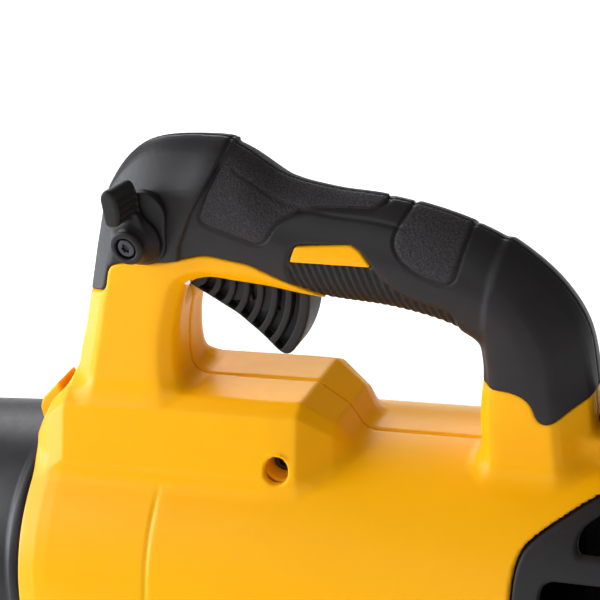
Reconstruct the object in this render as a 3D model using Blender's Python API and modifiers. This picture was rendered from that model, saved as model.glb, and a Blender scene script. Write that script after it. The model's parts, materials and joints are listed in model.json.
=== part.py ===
"""A hand-held cordless axial leaf blower, modelled as the separate pieces it is built from.

Shapes are drawn in the barrel's own frame, in metres: X runs back along the barrel axis, Y to the
tool's right and Z up, with X = 0 under the middle of the hand gap. The last step moves everything by
STAND, which puts the origin at the middle of the front foot's sole, on the floor.
"""

import math

import bmesh
import bpy
from mathutils import Matrix, Vector

# Where the barrel's frame stands above the front foot.
STAND = Vector((0.086, 0.0, 0.114))

# Clearances and walls.
GAP = 0.0003
WALL = 0.003
WELD = 0.00001

# Barrel, the yellow clamshell's main tube.
BARREL_R = 0.074
BORE_R = 0.071
FRONT_X = -0.128
REAR_X = 0.097
LIP_R = 0.0658
TONGUE_X = 0.152

# Air way and motor.
DUCT_R = 0.0705
FAN_R = 0.0665
FAN_X = (0.040, 0.068)
FAN_BLADES = 9
VANES = 7
HUB_R = 0.0345
MOTOR_R = 0.031
SHAFT_R = 0.0025

# Air tube and its nozzle tip.
TUBE_R = 0.0645
TUBE_END_X = -0.560
TUBE_END_R = 0.050
TUBE_WALL = 0.0022
NOZZLE_X = (-0.690, -0.535)

# Joint axes.
TRIGGER_PIVOT = Vector((-0.042, 0.0, 0.148))
LEVER_AXIS = Vector((-0.055, 0.0, 0.1705))
LATCH_AT = Vector((-0.131, 0.0, 0.079))

# Battery pack.
PACK_LOW = Vector((0.0985, -0.038, -0.114))
PACK_HIGH = Vector((0.2125, 0.038, -0.064))
PACK_SPLIT_Z = -0.084
CELL_R = 0.0092
CELL_LENGTH = 0.065
CELLS_IN_ROW = 5

# Stations of the handle from the foot of its front pillar over the top to the foot of its rear
# pillar: a point on its outer side, a point on its inner side (X, Z), and the half width.
HANDLE = (
    ((-0.119, 0.06), (-0.056, 0.06), 0.021),
    ((-0.112, 0.096), (-0.0575, 0.1), 0.019),
    ((-0.101, 0.122), (-0.055, 0.118), 0.018),
    ((-0.092, 0.144), (-0.049, 0.134), 0.0175),
    ((-0.083, 0.166), (-0.041, 0.1465), 0.0175),
    ((-0.073, 0.187), (-0.028, 0.1495), 0.018),
    ((-0.056, 0.202), (-0.014, 0.146), 0.0185),
    ((-0.036, 0.206), (-0.001, 0.143), 0.0185),
    ((-0.017, 0.203), (0.007, 0.1405), 0.018),
    ((0.002, 0.19), (0.015, 0.139), 0.0175),
    ((0.024, 0.184), (0.026, 0.1375), 0.0175),
    ((0.046, 0.181), (0.044, 0.1355), 0.0175),
    ((0.069, 0.175), (0.06, 0.1318), 0.0175),
    ((0.089, 0.166), (0.0712, 0.1275), 0.017),
    ((0.103, 0.155), (0.079, 0.1215), 0.017),
    ((0.113, 0.143), (0.0793, 0.1135), 0.0175),
    ((0.119, 0.129), (0.078, 0.105), 0.018),
    ((0.12, 0.112), (0.0762, 0.097), 0.0185),
    ((0.119, 0.09), (0.075, 0.085), 0.0195),
    ((0.118, 0.06), (0.074, 0.06), 0.021),
)
HANDLE_SIDES = 16
SQUARENESS = 2.6

# The black grip covers everything inside this outline (X, Z); the rest of the handle is yellow.
GRIP_OUTLINE = (
    (-0.130, 0.1300),
    (-0.0960, 0.1370),
    (-0.0795, 0.1435),
    (-0.0755, 0.1545),
    (-0.0700, 0.157),
    (-0.047, 0.158),
    (-0.028, 0.162),
    (-0.009, 0.158),
    (0.002, 0.151),
    (0.018, 0.1415),
    (0.020, 0.110),
    (0.096, 0.108),
    (0.100, 0.096),
    (0.105, 0.094),
    (0.114, 0.099),
    (0.135, 0.107),
    (0.135, 0.230),
    (-0.130, 0.230),
)

# The rear intake cover takes everything inside this outline (X, Z) from the housing.
COVER_OUTLINE = (
    (REAR_X, -0.130),
    (REAR_X, 0.044),
    (0.099, 0.054),
    (0.104, 0.0605),
    (0.113, 0.0655),
    (0.126, 0.070),
    (TONGUE_X, 0.0725),
    (TONGUE_X, 0.090),
    (0.200, 0.090),
    (0.200, -0.130),
)

# The trigger's outline (X, Z). Its rear edge is an arc about its own pivot.
TRIGGER_FRONT = (
    (-0.0475, 0.150),
    (-0.0468, 0.1440),
    (-0.0444, 0.1419),
    (-0.0260, 0.1296),
    (-0.0168, 0.1203),
    (-0.0106, 0.1125),
)
TRIGGER_TIP = ((-0.0080, 0.1112), (-0.0045, 0.1125))
TRIGGER_ARC_R = 0.0513
TRIGGER_ARC_DEG = (-40.5, 2.0)
TRIGGER_HALF_WIDTH = 0.007
TRIGGER_SLOT = ((-0.049, -0.0078, 0.120), (0.0188, 0.0078, 0.170))

# Housing screws, which run along Y: their X and Z, how far their posts reach, and the seat of the head.
SCREWS = (
    (-0.0080, 0.0727, 0.0310, 0.0235),
    (-0.086, -0.092, 0.0140, 0.0080),
    (0.030, -0.0797, 0.0345, 0.0285),
    (0.074, -0.0935, 0.0345, 0.0285),
)
BADGE_OUTLINE = ((0.009, 0.160), (0.0125, 0.1665), (0.036, 0.1672), (0.0395, 0.165), (0.0435, 0.159))

COLOURS = {
    "yellow": ((1.0, 0.50, 0.0), 0.38, 0.0),
    "black": ((0.028, 0.027, 0.029), 0.42, 0.0),
    "grip": ((0.022, 0.021, 0.023), 0.62, 0.0),
    "tube": ((0.035, 0.035, 0.040), 0.45, 0.0),
    "steel": ((0.55, 0.55, 0.56), 0.30, 1.0),
    "dark_steel": ((0.10, 0.10, 0.11), 0.35, 1.0),
    "copper": ((0.80, 0.36, 0.18), 0.30, 1.0),
    "aluminium": ((0.75, 0.75, 0.76), 0.35, 1.0),
    "board": ((0.02, 0.20, 0.08), 0.45, 0.0),
    "rubber": ((0.02, 0.02, 0.02), 0.80, 0.0),
    "cell": ((0.10, 0.35, 0.30), 0.40, 0.0),
}


def clear_scene():
    for obj in list(bpy.data.objects):
        bpy.data.objects.remove(obj, do_unlink=True)
    for name in ("leaf_blower", "cutters"):
        collection = bpy.data.collections.new(name)
        bpy.context.scene.collection.children.link(collection)
    bpy.data.collections["cutters"].hide_render = True


def material(name):
    found = bpy.data.materials.get(name)
    if found:
        return found
    colour, roughness, metallic = COLOURS[name]
    made = bpy.data.materials.new(name)
    made.use_nodes = True
    shader = made.node_tree.nodes["Principled BSDF"]
    shader.inputs["Base Color"].default_value = (*colour, 1.0)
    shader.inputs["Roughness"].default_value = roughness
    shader.inputs["Metallic"].default_value = metallic
    made.diffuse_color = (*colour, 1.0)
    return made


def new_object(mesh, name="form"):
    """A working object among the cutters. part() turns one into a sub-part."""
    obj = bpy.data.objects.new(name, mesh)
    bpy.data.collections["cutters"].objects.link(obj)
    obj.hide_render = True
    obj.display_type = "WIRE"
    return obj


def part(obj, name, colour, origin=None):
    """Makes a working object a sub-part, with its origin on its joint axis if it has one."""
    bpy.data.collections["cutters"].objects.unlink(obj)
    bpy.data.collections["leaf_blower"].objects.link(obj)
    obj.hide_render = False
    obj.display_type = "TEXTURED"
    obj.name = name
    obj.data.name = name
    obj.data.materials.clear()
    obj.data.materials.append(material(colour))
    if origin is not None:
        obj.data.transform(Matrix.Translation(-origin))
        obj.location = origin
    obj.data.shade_smooth()
    obj.data.set_sharp_from_angle(angle=math.radians(35))
    return obj


def boolean(obj, other, operation):
    """Adds a live Boolean. The other object stays hidden among the cutters."""
    modifier = obj.modifiers.new(operation.lower(), "BOOLEAN")
    modifier.operation = operation
    modifier.object = other
    modifier.solver = "EXACT"
    return obj


def cut(obj, *others):
    for other in others:
        boolean(obj, other, "DIFFERENCE")
    return obj


def join(obj, *others):
    for other in others:
        boolean(obj, other, "UNION")
    return obj


def keep(obj, other):
    return boolean(obj, other, "INTERSECT")


def solve_as_manifold(obj):
    """For the large shells, whose many near-level faces the exact solver triangulates badly."""
    for modifier in obj.modifiers:
        modifier.solver = "MANIFOLD"
    return obj


def from_bmesh(shape):
    bmesh.ops.recalc_face_normals(shape, faces=shape.faces)
    mesh = bpy.data.meshes.new("form")
    shape.to_mesh(mesh)
    shape.free()
    return new_object(mesh)


def box(low, high):
    low, high = Vector(low), Vector(high)
    shape = bmesh.new()
    placed = Matrix.Translation((low + high) / 2) @ Matrix.Diagonal((*(high - low), 1.0))
    bmesh.ops.create_cube(shape, size=1.0, matrix=placed)
    return from_bmesh(shape)


def cylinder(start, end, radius, end_radius=None, sides=24):
    start, end = Vector(start), Vector(end)
    along = end - start
    turn = Vector((0, 0, 1)).rotation_difference(along).to_matrix().to_4x4()
    shape = bmesh.new()
    bmesh.ops.create_cone(
        shape,
        cap_ends=True,
        segments=sides,
        radius1=radius,
        radius2=radius if end_radius is None else end_radius,
        depth=along.length,
        matrix=Matrix.Translation((start + end) / 2) @ turn,
    )
    return from_bmesh(shape)


def across(place, low, high, radius, end_radius=None, sides=24):
    """A cylinder along Y through a point, from low to high."""
    return cylinder((place.x, low, place.z), (place.x, high, place.z), radius, end_radius, sides)


def loft(rings):
    """A closed solid through rings of points, with flat ends."""
    shape = bmesh.new()
    loops = [[shape.verts.new(point) for point in ring] for ring in rings]
    for first, second in zip(loops, loops[1:]):
        for i in range(len(first)):
            j = (i + 1) % len(first)
            shape.faces.new((first[i], first[j], second[j], second[i]))
    shape.faces.new(loops[0])
    shape.faces.new(reversed(loops[-1]))
    return from_bmesh(shape)


def evaluated_mesh(obj):
    graph = bpy.context.evaluated_depsgraph_get()
    mesh = bpy.data.meshes.new_from_object(obj.evaluated_get(graph))
    mesh.transform(obj.matrix_world)
    return mesh


def welded(obj):
    """A closed mesh object in place of a curve, or of a mesh with a Screw modifier."""
    bpy.context.view_layer.update()
    mesh = evaluated_mesh(obj)
    bpy.data.objects.remove(obj, do_unlink=True)
    shape = bmesh.new()
    shape.from_mesh(mesh)
    bmesh.ops.remove_doubles(shape, verts=shape.verts, dist=WELD)
    return from_bmesh(shape)


def turned(profile, closed=False, sides=36):
    """A profile of (X, radius) points turned about the barrel axis."""
    mesh = bpy.data.meshes.new("profile")
    points = [(radius, 0.0, x) for x, radius in profile]
    edges = [(i, i + 1) for i in range(len(points) - 1)]
    if closed:
        edges.append((len(points) - 1, 0))
    mesh.from_pydata(points, edges, [])
    obj = new_object(mesh)
    screw = obj.modifiers.new("turn", "SCREW")
    screw.steps = screw.render_steps = sides
    screw.use_merge_vertices = True
    screw.merge_threshold = WELD
    obj.rotation_euler = (0.0, math.pi / 2, 0.0)
    return welded(obj)


def prism(outline, low, high, axis="Y"):
    """A flat outline of (X, Z) points extruded along Y, or of (Y, Z) points extruded along X."""
    curve = bpy.data.curves.new("outline", "CURVE")
    curve.dimensions = "2D"
    curve.fill_mode = "BOTH"
    curve.extrude = (high - low) / 2
    spline = curve.splines.new("POLY")
    spline.points.add(len(outline) - 1)
    for point, (first, second) in zip(spline.points, outline):
        point.co = (first, second, 0.0, 1.0)
    spline.use_cyclic_u = True
    obj = new_object(curve)
    middle = (low + high) / 2
    if axis == "Y":
        obj.matrix_world = Matrix(((1, 0, 0, 0), (0, 0, -1, middle), (0, 1, 0, 0), (0, 0, 0, 1)))
    elif axis == "X":
        obj.matrix_world = Matrix(((0, 0, 1, middle), (1, 0, 0, 0), (0, 1, 0, 0), (0, 0, 0, 1)))
    else:
        obj.matrix_world = Matrix.Translation((0, 0, middle))
    return welded(obj)


def wire(points, radius, resolution=2):
    """A round rod or coil through points, with closed ends."""
    curve = bpy.data.curves.new("wire", "CURVE")
    curve.dimensions = "3D"
    curve.bevel_depth = radius
    curve.bevel_resolution = resolution
    curve.use_fill_caps = True
    spline = curve.splines.new("POLY")
    spline.points.add(len(points) - 1)
    for target, point in zip(spline.points, points):
        target.co = (*point, 1.0)
    return welded(new_object(curve))


def coil(start, end, radius, turns, wire_radius, steps=10):
    """A compression spring that stands along Z."""
    start, end = Vector(start), Vector(end)
    points = []
    for i in range(turns * steps + 1):
        share = i / (turns * steps)
        angle = share * turns * 2 * math.pi
        centre = start.lerp(end, share)
        points.append(centre + Vector((radius * math.cos(angle), radius * math.sin(angle), 0)))
    return wire(points, wire_radius, resolution=1)


def grown(outline, distance):
    """The outline moved outwards by a distance, corner by corner."""
    points = [Vector(point) for point in outline]
    area = sum(a.x * b.y - b.x * a.y for a, b in zip(points, points[1:] + points[:1]))
    side = 1.0 if area > 0 else -1.0
    found = []
    for i, point in enumerate(points):
        back = (point - points[i - 1]).normalized()
        on = (points[(i + 1) % len(points)] - point).normalized()
        normals = [Vector((edge.y, -edge.x)) * side for edge in (back, on)]
        middle = normals[0] + normals[1]
        found.append(tuple(point + middle * distance * 2 / middle.length_squared))
    return found


def slot_outline(first, last, half_height, steps=4):
    """A stadium from the first to the last end centre, level, as (horizontal, vertical) points."""
    points = []
    for centre, start in ((last, -90), (first, 90)):
        for i in range(steps + 1):
            angle = math.radians(start + 180 * i / steps)
            points.append(
                (centre[0] + half_height * math.cos(angle), centre[1] + half_height * math.sin(angle))
            )
    return points


def rounded_box(low, high, radius, segments=2):
    obj = box(low, high)
    bevel = obj.modifiers.new("bevel", "BEVEL")
    bevel.width = radius
    bevel.segments = segments
    bevel.limit_method = "ANGLE"
    return welded(obj)


def half_space(side):
    """Everything on one side of the middle plane, short of it by half the parting gap."""
    near = side * GAP / 2
    far = side * 0.2
    return box((-0.3, min(near, far), -0.2), (0.3, max(near, far), 0.3))


# ---- forms shared by the housing halves and the grips ----


def handle_form(inset):
    rings = []
    for outer, inner, half_width in HANDLE:
        outer = Vector((outer[0], 0.0, outer[1]))
        inner = Vector((inner[0], 0.0, inner[1]))
        along = (outer - inner) / 2
        reach = along.length - inset
        ring = []
        for i in range(HANDLE_SIDES):
            angle = 2 * math.pi * i / HANDLE_SIDES
            up, across = math.cos(angle), math.sin(angle)
            up = math.copysign(abs(up) ** (2 / SQUARENESS), up)
            across = math.copysign(abs(across) ** (2 / SQUARENESS), across)
            side = Vector((0.0, across * (half_width - inset), 0.0))
            ring.append((outer + inner) / 2 + along.normalized() * reach * up + side)
        rings.append(ring)
    if inset:
        # The hollow runs on down into the barrel at both ends.
        for end in (0, -1):
            rings[end] = [point - Vector((0, 0, 0.012)) for point in rings[end]]
    return loft(rings)


def bump_form(inset):
    """The fairing on top of the barrel, between the front pillar and the middle."""
    stations = (
        (-0.1265, 0.079),
        (-0.119, 0.089),
        (-0.110, 0.0955),
        (-0.060, 0.096),
        (0.000, 0.096),
        (0.006, 0.0935),
        (0.012, 0.086),
        (0.018, 0.075),
    )
    if inset:
        stations = ((-0.104, 0.096), (-0.060, 0.096), (-0.002, 0.096), (0.006, 0.086), (0.011, 0.075))
    rings = []
    for x, top in stations:
        top -= inset
        half = [
            (0.0, top), (0.018, top - 0.0008), (0.0235, top - 0.004), (0.034, top - 0.026), (0.036, 0.050)
        ]
        half = [(max(y - inset, 0.0) if y else 0.0, z) for y, z in half]
        ring = [(x, -y, z) for y, z in reversed(half)] + [(x, y, z) for y, z in half[1:]]
        rings.append([Vector(point) for point in ring])
    return loft(rings)


def barrel_form():
    return turned(
        (
            (FRONT_X, 0.0),
            (FRONT_X, 0.0715),
            (FRONT_X + 0.004, 0.0725),
            (FRONT_X + 0.014, BARREL_R),
            (TONGUE_X, BARREL_R),
            (TONGUE_X, 0.0),
        )
    )


def bore_form():
    """The hollow of the barrel, with the narrower lip that holds the air tube."""
    return turned(
        (
            (FRONT_X - 0.01, 0.0),
            (FRONT_X - 0.01, LIP_R),
            (-0.0965, LIP_R),
            (-0.0945, BORE_R),
            (TONGUE_X + 0.01, BORE_R),
            (TONGUE_X + 0.01, 0.0),
        )
    )


BELLY_OUTLINE = (
    (-0.014, -0.050),
    (-0.010, -0.0745),
    (0.030, -0.0875),
    (0.068, -0.105),
    (REAR_X, -0.108),
    (REAR_X, -0.050),
)
FOOT_OUTLINE = ((-0.107, -0.050), (-0.102, -0.1083), (-0.070, -0.1083), (-0.065, -0.050))
SPINE_OUTLINE = (
    (0.110, 0.066), (0.110, 0.084), (TONGUE_X - 0.004, 0.084), (TONGUE_X, 0.080), (TONGUE_X, 0.066)
)


def screw_boss(x, z, side, radius, depth):
    """A post from the housing's side wall past the parting plane, clear of the air way."""
    post = cylinder((x, -side * 0.002, z), (x, side * depth, z), radius, sides=12)
    return cut(post, cylinder((-0.2, 0, 0), (0.2, 0, 0), BORE_R, sides=36)) if z > 0 else post


def housing(name, side):
    """One half of the yellow clamshell. side is -1 for the left half and 1 for the right."""
    shell = barrel_form()
    join(shell, bump_form(0.0), handle_form(0.0))
    join(shell, prism(BELLY_OUTLINE, -0.036, 0.036), prism(FOOT_OUTLINE, -0.024, 0.024))
    join(shell, prism(SPINE_OUTLINE, -0.010, 0.010))
    cut(shell, bore_form(), bump_form(WALL), handle_form(WALL))
    cut(shell, prism(grown(BELLY_OUTLINE, -WALL), -0.033, 0.033))
    # A bulkhead closes the barrel in front of the battery, below the intake.
    join(shell, box((REAR_X - 0.0036, -0.052, -0.060), (REAR_X + 0.002, 0.052, -0.045)))
    for x, z, depth, _ in SCREWS:
        join(shell, screw_boss(x, z, side, 0.0066, depth))
    cut(shell, prism(grown(COVER_OUTLINE, GAP), -0.1, 0.1))
    cut(shell, prism(grown(GRIP_OUTLINE, GAP), -0.03, 0.03))
    keep(shell, half_space(side))
    for x, z, _, seat in SCREWS:
        cut(shell, cylinder((x, -0.2, z), (x, 0.2, z), 0.0024, sides=12))
        if side < 0:
            cut(shell, cylinder((x, -seat, z), (x, -0.2, z), 0.0050, sides=16))
        else:
            cut(shell, cylinder((x, seat, z), (x, 0.2, z), 0.0036, sides=6))
    # The trigger's slot, the tube latch's notch and pocket, and the terminal block's window.
    cut(shell, box(*TRIGGER_SLOT))
    cut(shell, across(TRIGGER_PIVOT, -0.0139, 0.0139, 0.0023, sides=16))
    cut(shell, box((-0.140, -0.0078, 0.0665), (-0.1232, 0.0078, 0.100)))
    cut(shell, box((-0.124, -0.0060, 0.0735), (-0.1045, 0.0060, 0.0880)))
    cut(shell, box((REAR_X - 0.01, -0.0183, -0.0703), (REAR_X + 0.01, 0.0183, -0.0587)))
    return part(solve_as_manifold(shell), name, "yellow")


def grip(name, side):
    """One half of the black upper handle."""
    shell = handle_form(-0.0003)
    cut(shell, handle_form(WALL))
    keep(shell, prism(GRIP_OUTLINE, -0.03, 0.03))
    keep(shell, half_space(side))
    badge_side = sorted((side * 0.0168, side * 0.03))
    cut(shell, prism(grown(BADGE_OUTLINE, GAP), *badge_side))
    cut(shell, box(*TRIGGER_SLOT))
    if side < 0:
        cut(shell, across(LEVER_AXIS, -0.03, 0.0, 0.0044))
    return part(solve_as_manifold(shell), name, "grip")


def badge(name, side):
    low, high = sorted((side * 0.0171, side * 0.0187))
    return part(prism(BADGE_OUTLINE, low, high), name, "yellow")


def make_handle():
    for name, side in (("left", -1), ("right", 1)):
        housing(f"housing_{name}", side)
        grip(f"grip_{name}", side)
        badge(f"grip_badge_{name}", side)


def make_screws():
    for number, (x, z, _, seat) in enumerate(SCREWS, start=1):
        head = cylinder((x, -seat - 0.0032, z), (x, -seat - GAP, z), 0.0040, 0.0044, sides=16)
        join(head, cylinder((x, -seat - 0.002, z), (x, seat - 0.002, z), 0.0019, sides=10))
        cut(head, cylinder((x, -seat - 0.01, z), (x, -seat - 0.0018, z), 0.0020, sides=6))
        part(head, f"housing_screw_{number}", "dark_steel")


# ---- the rear: intake cover, spine cap, receiver ----


def make_intake_cover():
    profile = (
        (REAR_X - 0.005, 0.0),
        (REAR_X - 0.005, BARREL_R),
        (0.150, BARREL_R),
        (0.160, 0.0725),
        (0.168, 0.068),
    )
    profile += ((0.1735, 0.061), (0.176, 0.050), (0.176, 0.0))
    hollow = (
        (REAR_X - 0.01, 0.0), (REAR_X - 0.01, BORE_R), (0.150, BORE_R), (0.158, 0.0697), (0.165, 0.0655)
    )
    hollow += ((0.1702, 0.059), (0.173, 0.049), (0.173, 0.0))
    cover = turned(profile)
    cut(cover, turned(hollow))
    keep(cover, prism(COVER_OUTLINE, -0.1, 0.1))
    cut(cover, box((0.0, -0.1, -0.1), (0.3, 0.1, -0.045)))
    # Side slots, which follow the cover's front edge, and level slots in its rear end.
    for first_x, z, last_x in ((0.125, 0.056, 0.150), (0.112, 0.036, 0.158), (0.109, 0.016, 0.158)):
        cut(cover, prism(slot_outline((first_x, z), (last_x, z), 0.0062), -0.1, 0.1))
    for first_x, z, last_x in ((0.109, -0.004, 0.158), (0.109, -0.024, 0.158)):
        cut(cover, prism(slot_outline((first_x, z), (last_x, z), 0.0062), -0.1, 0.1))
    for z, reach in ((0.034, 0.022), (0.018, 0.034), (0.002, 0.038), (-0.014, 0.036), (-0.030, 0.030)):
        cut(cover, prism(slot_outline((-reach, z), (reach, z), 0.0045), 0.165, 0.19, axis="X"))
    for y in (-0.050, 0.050):
        cut(cover, cylinder((0.15, y, -0.0385), (0.2, y, -0.0385), 0.0022, sides=12))
    part(cover, "intake_cover", "black")

    cap = prism(
        (
            (0.1225, 0.0885),
            (0.1265, 0.0843),
            (0.156, 0.0843),
            (0.1600, 0.088),
            (0.158, 0.092),
            (0.150, 0.095),
            (0.1225, 0.095),
        ),
        -0.010,
        0.010,
    )
    part(cap, "spine_cap", "black")


def make_receiver():
    """The plate that closes the intake's underside, with the rails that the battery hangs on."""
    plate = prism(
        ((-0.049, -0.0535), (0.049, -0.0535), (0.0565, -0.0453), (-0.0565, -0.0453)),
        REAR_X + GAP,
        0.171,
        "X",
    )
    for side in (-1, 1):
        low, high = sorted((side * 0.0246, side * 0.031))
        join(plate, box((REAR_X + GAP, low, -0.0634), (0.160, high, -0.053)))
        low, high = sorted((side * 0.0206, side * 0.031))
        join(plate, box((REAR_X + GAP, low, -0.0634), (0.160, high, -0.0604)))
        cut(plate, cylinder((0.155, side * 0.050, -0.0495), (0.2, side * 0.050, -0.0495), 0.0016, sides=10))
    part(plate, "battery_receiver", "black")
    for number, side in ((1, -1), (2, 1)):
        head = cylinder((0.1713, side * 0.050, -0.0495), (0.1738, side * 0.050, -0.0495), 0.0034, sides=16)
        join(
            head,
            cylinder((0.158, side * 0.050, -0.0495), (0.1725, side * 0.050, -0.0495), 0.0013, sides=10),
        )
        cut(head, cylinder((0.1728, side * 0.050, -0.0495), (0.18, side * 0.050, -0.0495), 0.0016, sides=6))
        part(head, f"receiver_screw_{number}", "dark_steel")
    block = box((0.086, -0.018, -0.070), (REAR_X + 0.0012, 0.018, -0.059))
    for y in (-0.012, 0.0, 0.012):
        join(block, box((REAR_X, y - 0.0006, -0.0665), (0.112, y + 0.0006, -0.0600)))
    part(block, "terminal_block", "black")


# ---- air way, motor and fan ----


def blade_set(count, inner, outer, low, high, root_turn, tip_turn, thickness, stations=4):
    """Twisted plates set round the barrel axis, as one mesh of separate closed bodies."""
    shape = bmesh.new()
    middle, half = (low + high) / 2, (high - low) / 2
    for k in range(count):
        about = Matrix.Rotation(2 * math.pi * k / count, 3, "X")
        loops = []
        for i in range(stations):
            share = i / (stations - 1)
            radius = inner + (outer - inner) * share
            turn = math.radians(root_turn + (tip_turn - root_turn) * share)
            chord = half / math.cos(turn)
            along = Vector((math.cos(turn), math.sin(turn), 0)) * chord
            thick = Vector((-math.sin(turn), math.cos(turn), 0)) * thickness / 2
            centre = Vector((middle, 0, radius))
            corners = (
                centre - along - thick,
                centre + along - thick,
                centre + along + thick,
                centre - along + thick,
            )
            loops.append([shape.verts.new(about @ corner) for corner in corners])
        for first, second in zip(loops, loops[1:]):
            for i in range(4):
                j = (i + 1) % 4
                shape.faces.new((first[i], first[j], second[j], second[i]))
        shape.faces.new(loops[0])
        shape.faces.new(reversed(loops[-1]))
    return from_bmesh(shape)


def make_duct():
    sleeve = turned(
        ((-0.050, 0.068), (-0.050, DUCT_R), (0.086, DUCT_R), (0.086, 0.0700), (0.079, 0.068)), closed=True
    )
    hub = turned(
        ((-0.045, MOTOR_R + GAP), (-0.045, HUB_R), (0.034, HUB_R), (0.034, MOTOR_R + GAP)),
        closed=True,
        sides=32,
    )
    join(sleeve, blade_set(VANES, 0.0335, 0.0690, -0.038, 0.022, -8.0, -8.0, 0.0016, stations=2), hub)
    part(sleeve, "vane_duct", "black")
    cone = turned(
        ((-0.092, 0.0), (-0.080, 0.0175), (-0.059, 0.0295), (-0.0453, 0.030))
        + ((-0.0453, HUB_R), (-0.060, 0.0320), (-0.082, 0.0200), (-0.094, 0.0060), (-0.095, 0.0)),
        sides=24,
    )
    part(cone, "tail_cone", "black")


def make_motor():
    can = turned(
        (
            (0.026, 0.0290),
            (0.026, MOTOR_R),
            (-0.030, MOTOR_R),
            (-0.030, 0.0083),
            (-0.027, 0.0083),
            (-0.027, 0.0290),
        ),
        closed=True,
        sides=32,
    )
    part(can, "motor_can", "aluminium")
    cap = turned(
        (
            (0.0263, 0.0083),
            (0.0263, MOTOR_R),
            (0.030, MOTOR_R),
            (0.030, 0.014),
            (0.034, 0.013),
            (0.034, 0.0083),
        ),
        closed=True,
        sides=32,
    )
    part(cap, "motor_end_cap", "aluminium")

    stator = turned(
        ((-0.018, 0.0148), (-0.018, 0.0287), (0.014, 0.0287), (0.014, 0.0148)), closed=True, sides=36
    )
    for k in range(6):
        about = Matrix.Rotation(math.radians(60 * k + 30), 4, "X")
        slot = box((-0.03, -0.0030, 0.0100), (0.03, 0.0030, 0.0235))
        slot.data.transform(about)
        cut(stator, slot)
    part(stator, "stator", "dark_steel")
    for k in range(6):
        about = Matrix.Rotation(math.radians(60 * k), 4, "X")
        winding = box((-0.0212, -0.0046, 0.0170), (-0.0184, 0.0046, 0.0225))
        winding.data.transform(about)
        part(winding, f"winding_{k + 1}", "copper")

    shaft = cylinder((-0.033, 0, 0), (0.0755, 0, 0), SHAFT_R, sides=16)
    part(shaft, "motor_shaft", "steel", Vector((0, 0, 0)))
    magnet = turned(
        ((-0.016, 0.0027), (-0.016, 0.0138), (0.012, 0.0138), (0.012, 0.0027)), closed=True, sides=24
    )
    part(magnet, "rotor_magnet", "dark_steel", Vector((0, 0, 0)))
    for name, x in (("bearing_front", -0.0300), ("bearing_rear", 0.0290)):
        ring = turned(
            ((x, 0.0027), (x, 0.0080), (x + 0.005, 0.0080), (x + 0.005, 0.0027)), closed=True, sides=20
        )
        part(ring, name, "steel")


def make_fan():
    low, high = FAN_X
    hub = turned(
        (
            (low, 0.0270),
            (low, 0.0300),
            (high - 0.006, 0.0300),
            (high - 0.001, 0.0270),
            (high, 0.0200),
            (high, 0.0027),
        )
        + ((low + 0.004, 0.0027), (low + 0.004, 0.0070), (high - 0.003, 0.0090), (high - 0.004, 0.0270)),
        closed=True,
        sides=32,
    )
    join(hub, blade_set(FAN_BLADES, 0.0285, FAN_R + 0.002, low + 0.001, high - 0.004, 38.0, 58.0, 0.0020))
    keep(hub, cylinder((low - 0.01, 0, 0), (high + 0.01, 0, 0), FAN_R, sides=36))
    part(hub, "fan", "black", Vector((0, 0, 0)))
    nut = cylinder((high + GAP, 0, 0), (high + 0.0045, 0, 0), 0.0048, sides=6)
    cut(nut, cylinder((high - 0.01, 0, 0), (high + 0.02, 0, 0), 0.0027, sides=16))
    part(nut, "fan_nut", "steel", Vector((0, 0, 0)))


# ---- air tube and nozzle ----


def tube_radius(x):
    """Outer radius of the air tube, which tapers towards its free end."""
    share = (x + 0.140) / (TUBE_END_X + 0.140)
    return TUBE_R - (TUBE_R - TUBE_END_R) * max(share, 0.0) ** 0.9


def make_tube():
    outer = [
        (-0.099, TUBE_R),
        (-0.1315, TUBE_R),
        (-0.1335, TUBE_R + 0.0012),
        (-0.1365, TUBE_R + 0.0012),
        (-0.140, TUBE_R),
    ]
    outer += [(x, tube_radius(x)) for x in (-0.20, -0.30, -0.42, TUBE_END_X)]
    inner = [(x, tube_radius(x) - TUBE_WALL) for x in (TUBE_END_X, -0.42, -0.30, -0.20, -0.140, -0.099)]
    part(turned(outer + inner, closed=True, sides=32), "air_tube", "tube", Vector((-0.099, 0, 0)))

    def oval(x, across, up, count=32):
        angles = [2 * math.pi * i / count for i in range(count)]
        return [Vector((x, across * math.cos(a), up * math.sin(a))) for a in angles]

    far, near = NOZZLE_X
    fit = TUBE_END_R + 0.0022
    sections = ((near, fit, fit), (TUBE_END_X - 0.006, fit - 0.0005, fit - 0.0005), (-0.610, 0.048, 0.040))
    sections += ((-0.650, 0.048, 0.031), (far, 0.050, 0.026))
    outside = loft([oval(x, across + 0.0022, up + 0.0022) for x, across, up in sections])
    hollow = [
        (near + 0.01, fit, fit), (TUBE_END_X - 0.001, fit, fit), (TUBE_END_X - 0.0015, 0.0485, 0.0485)
    ]
    hollow += [(x, across - 0.0004, up - 0.0004) for x, across, up in sections[2:-1]] + [
        (far - 0.01, 0.050, 0.0255)
    ]
    cut(outside, loft([oval(*section) for section in hollow]))
    part(outside, "nozzle_tip", "tube", Vector((near, 0, 0)))


def make_latch():
    """The spring tab on top of the front lip that lets the air tube go."""
    tab = prism(
        (
            (-0.1375, 0.0700), (-0.1375, 0.0770), (-0.1350, 0.0815), (-0.1238, 0.0910), (-0.1238, 0.0700)
        ), -0.0074, 0.0074
    )
    join(tab, box((-0.1245, -0.0055, 0.0830), (-0.1060, 0.0055, 0.0860)))
    part(tab, "tube_latch", "yellow", LATCH_AT)
    spring = coil((-0.1140, 0, 0.0745), (-0.1140, 0, 0.0820), 0.0034, 3, 0.0004, steps=8)
    part(spring, "latch_spring", "steel")


# ---- trigger, switch and speed lever ----


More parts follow.
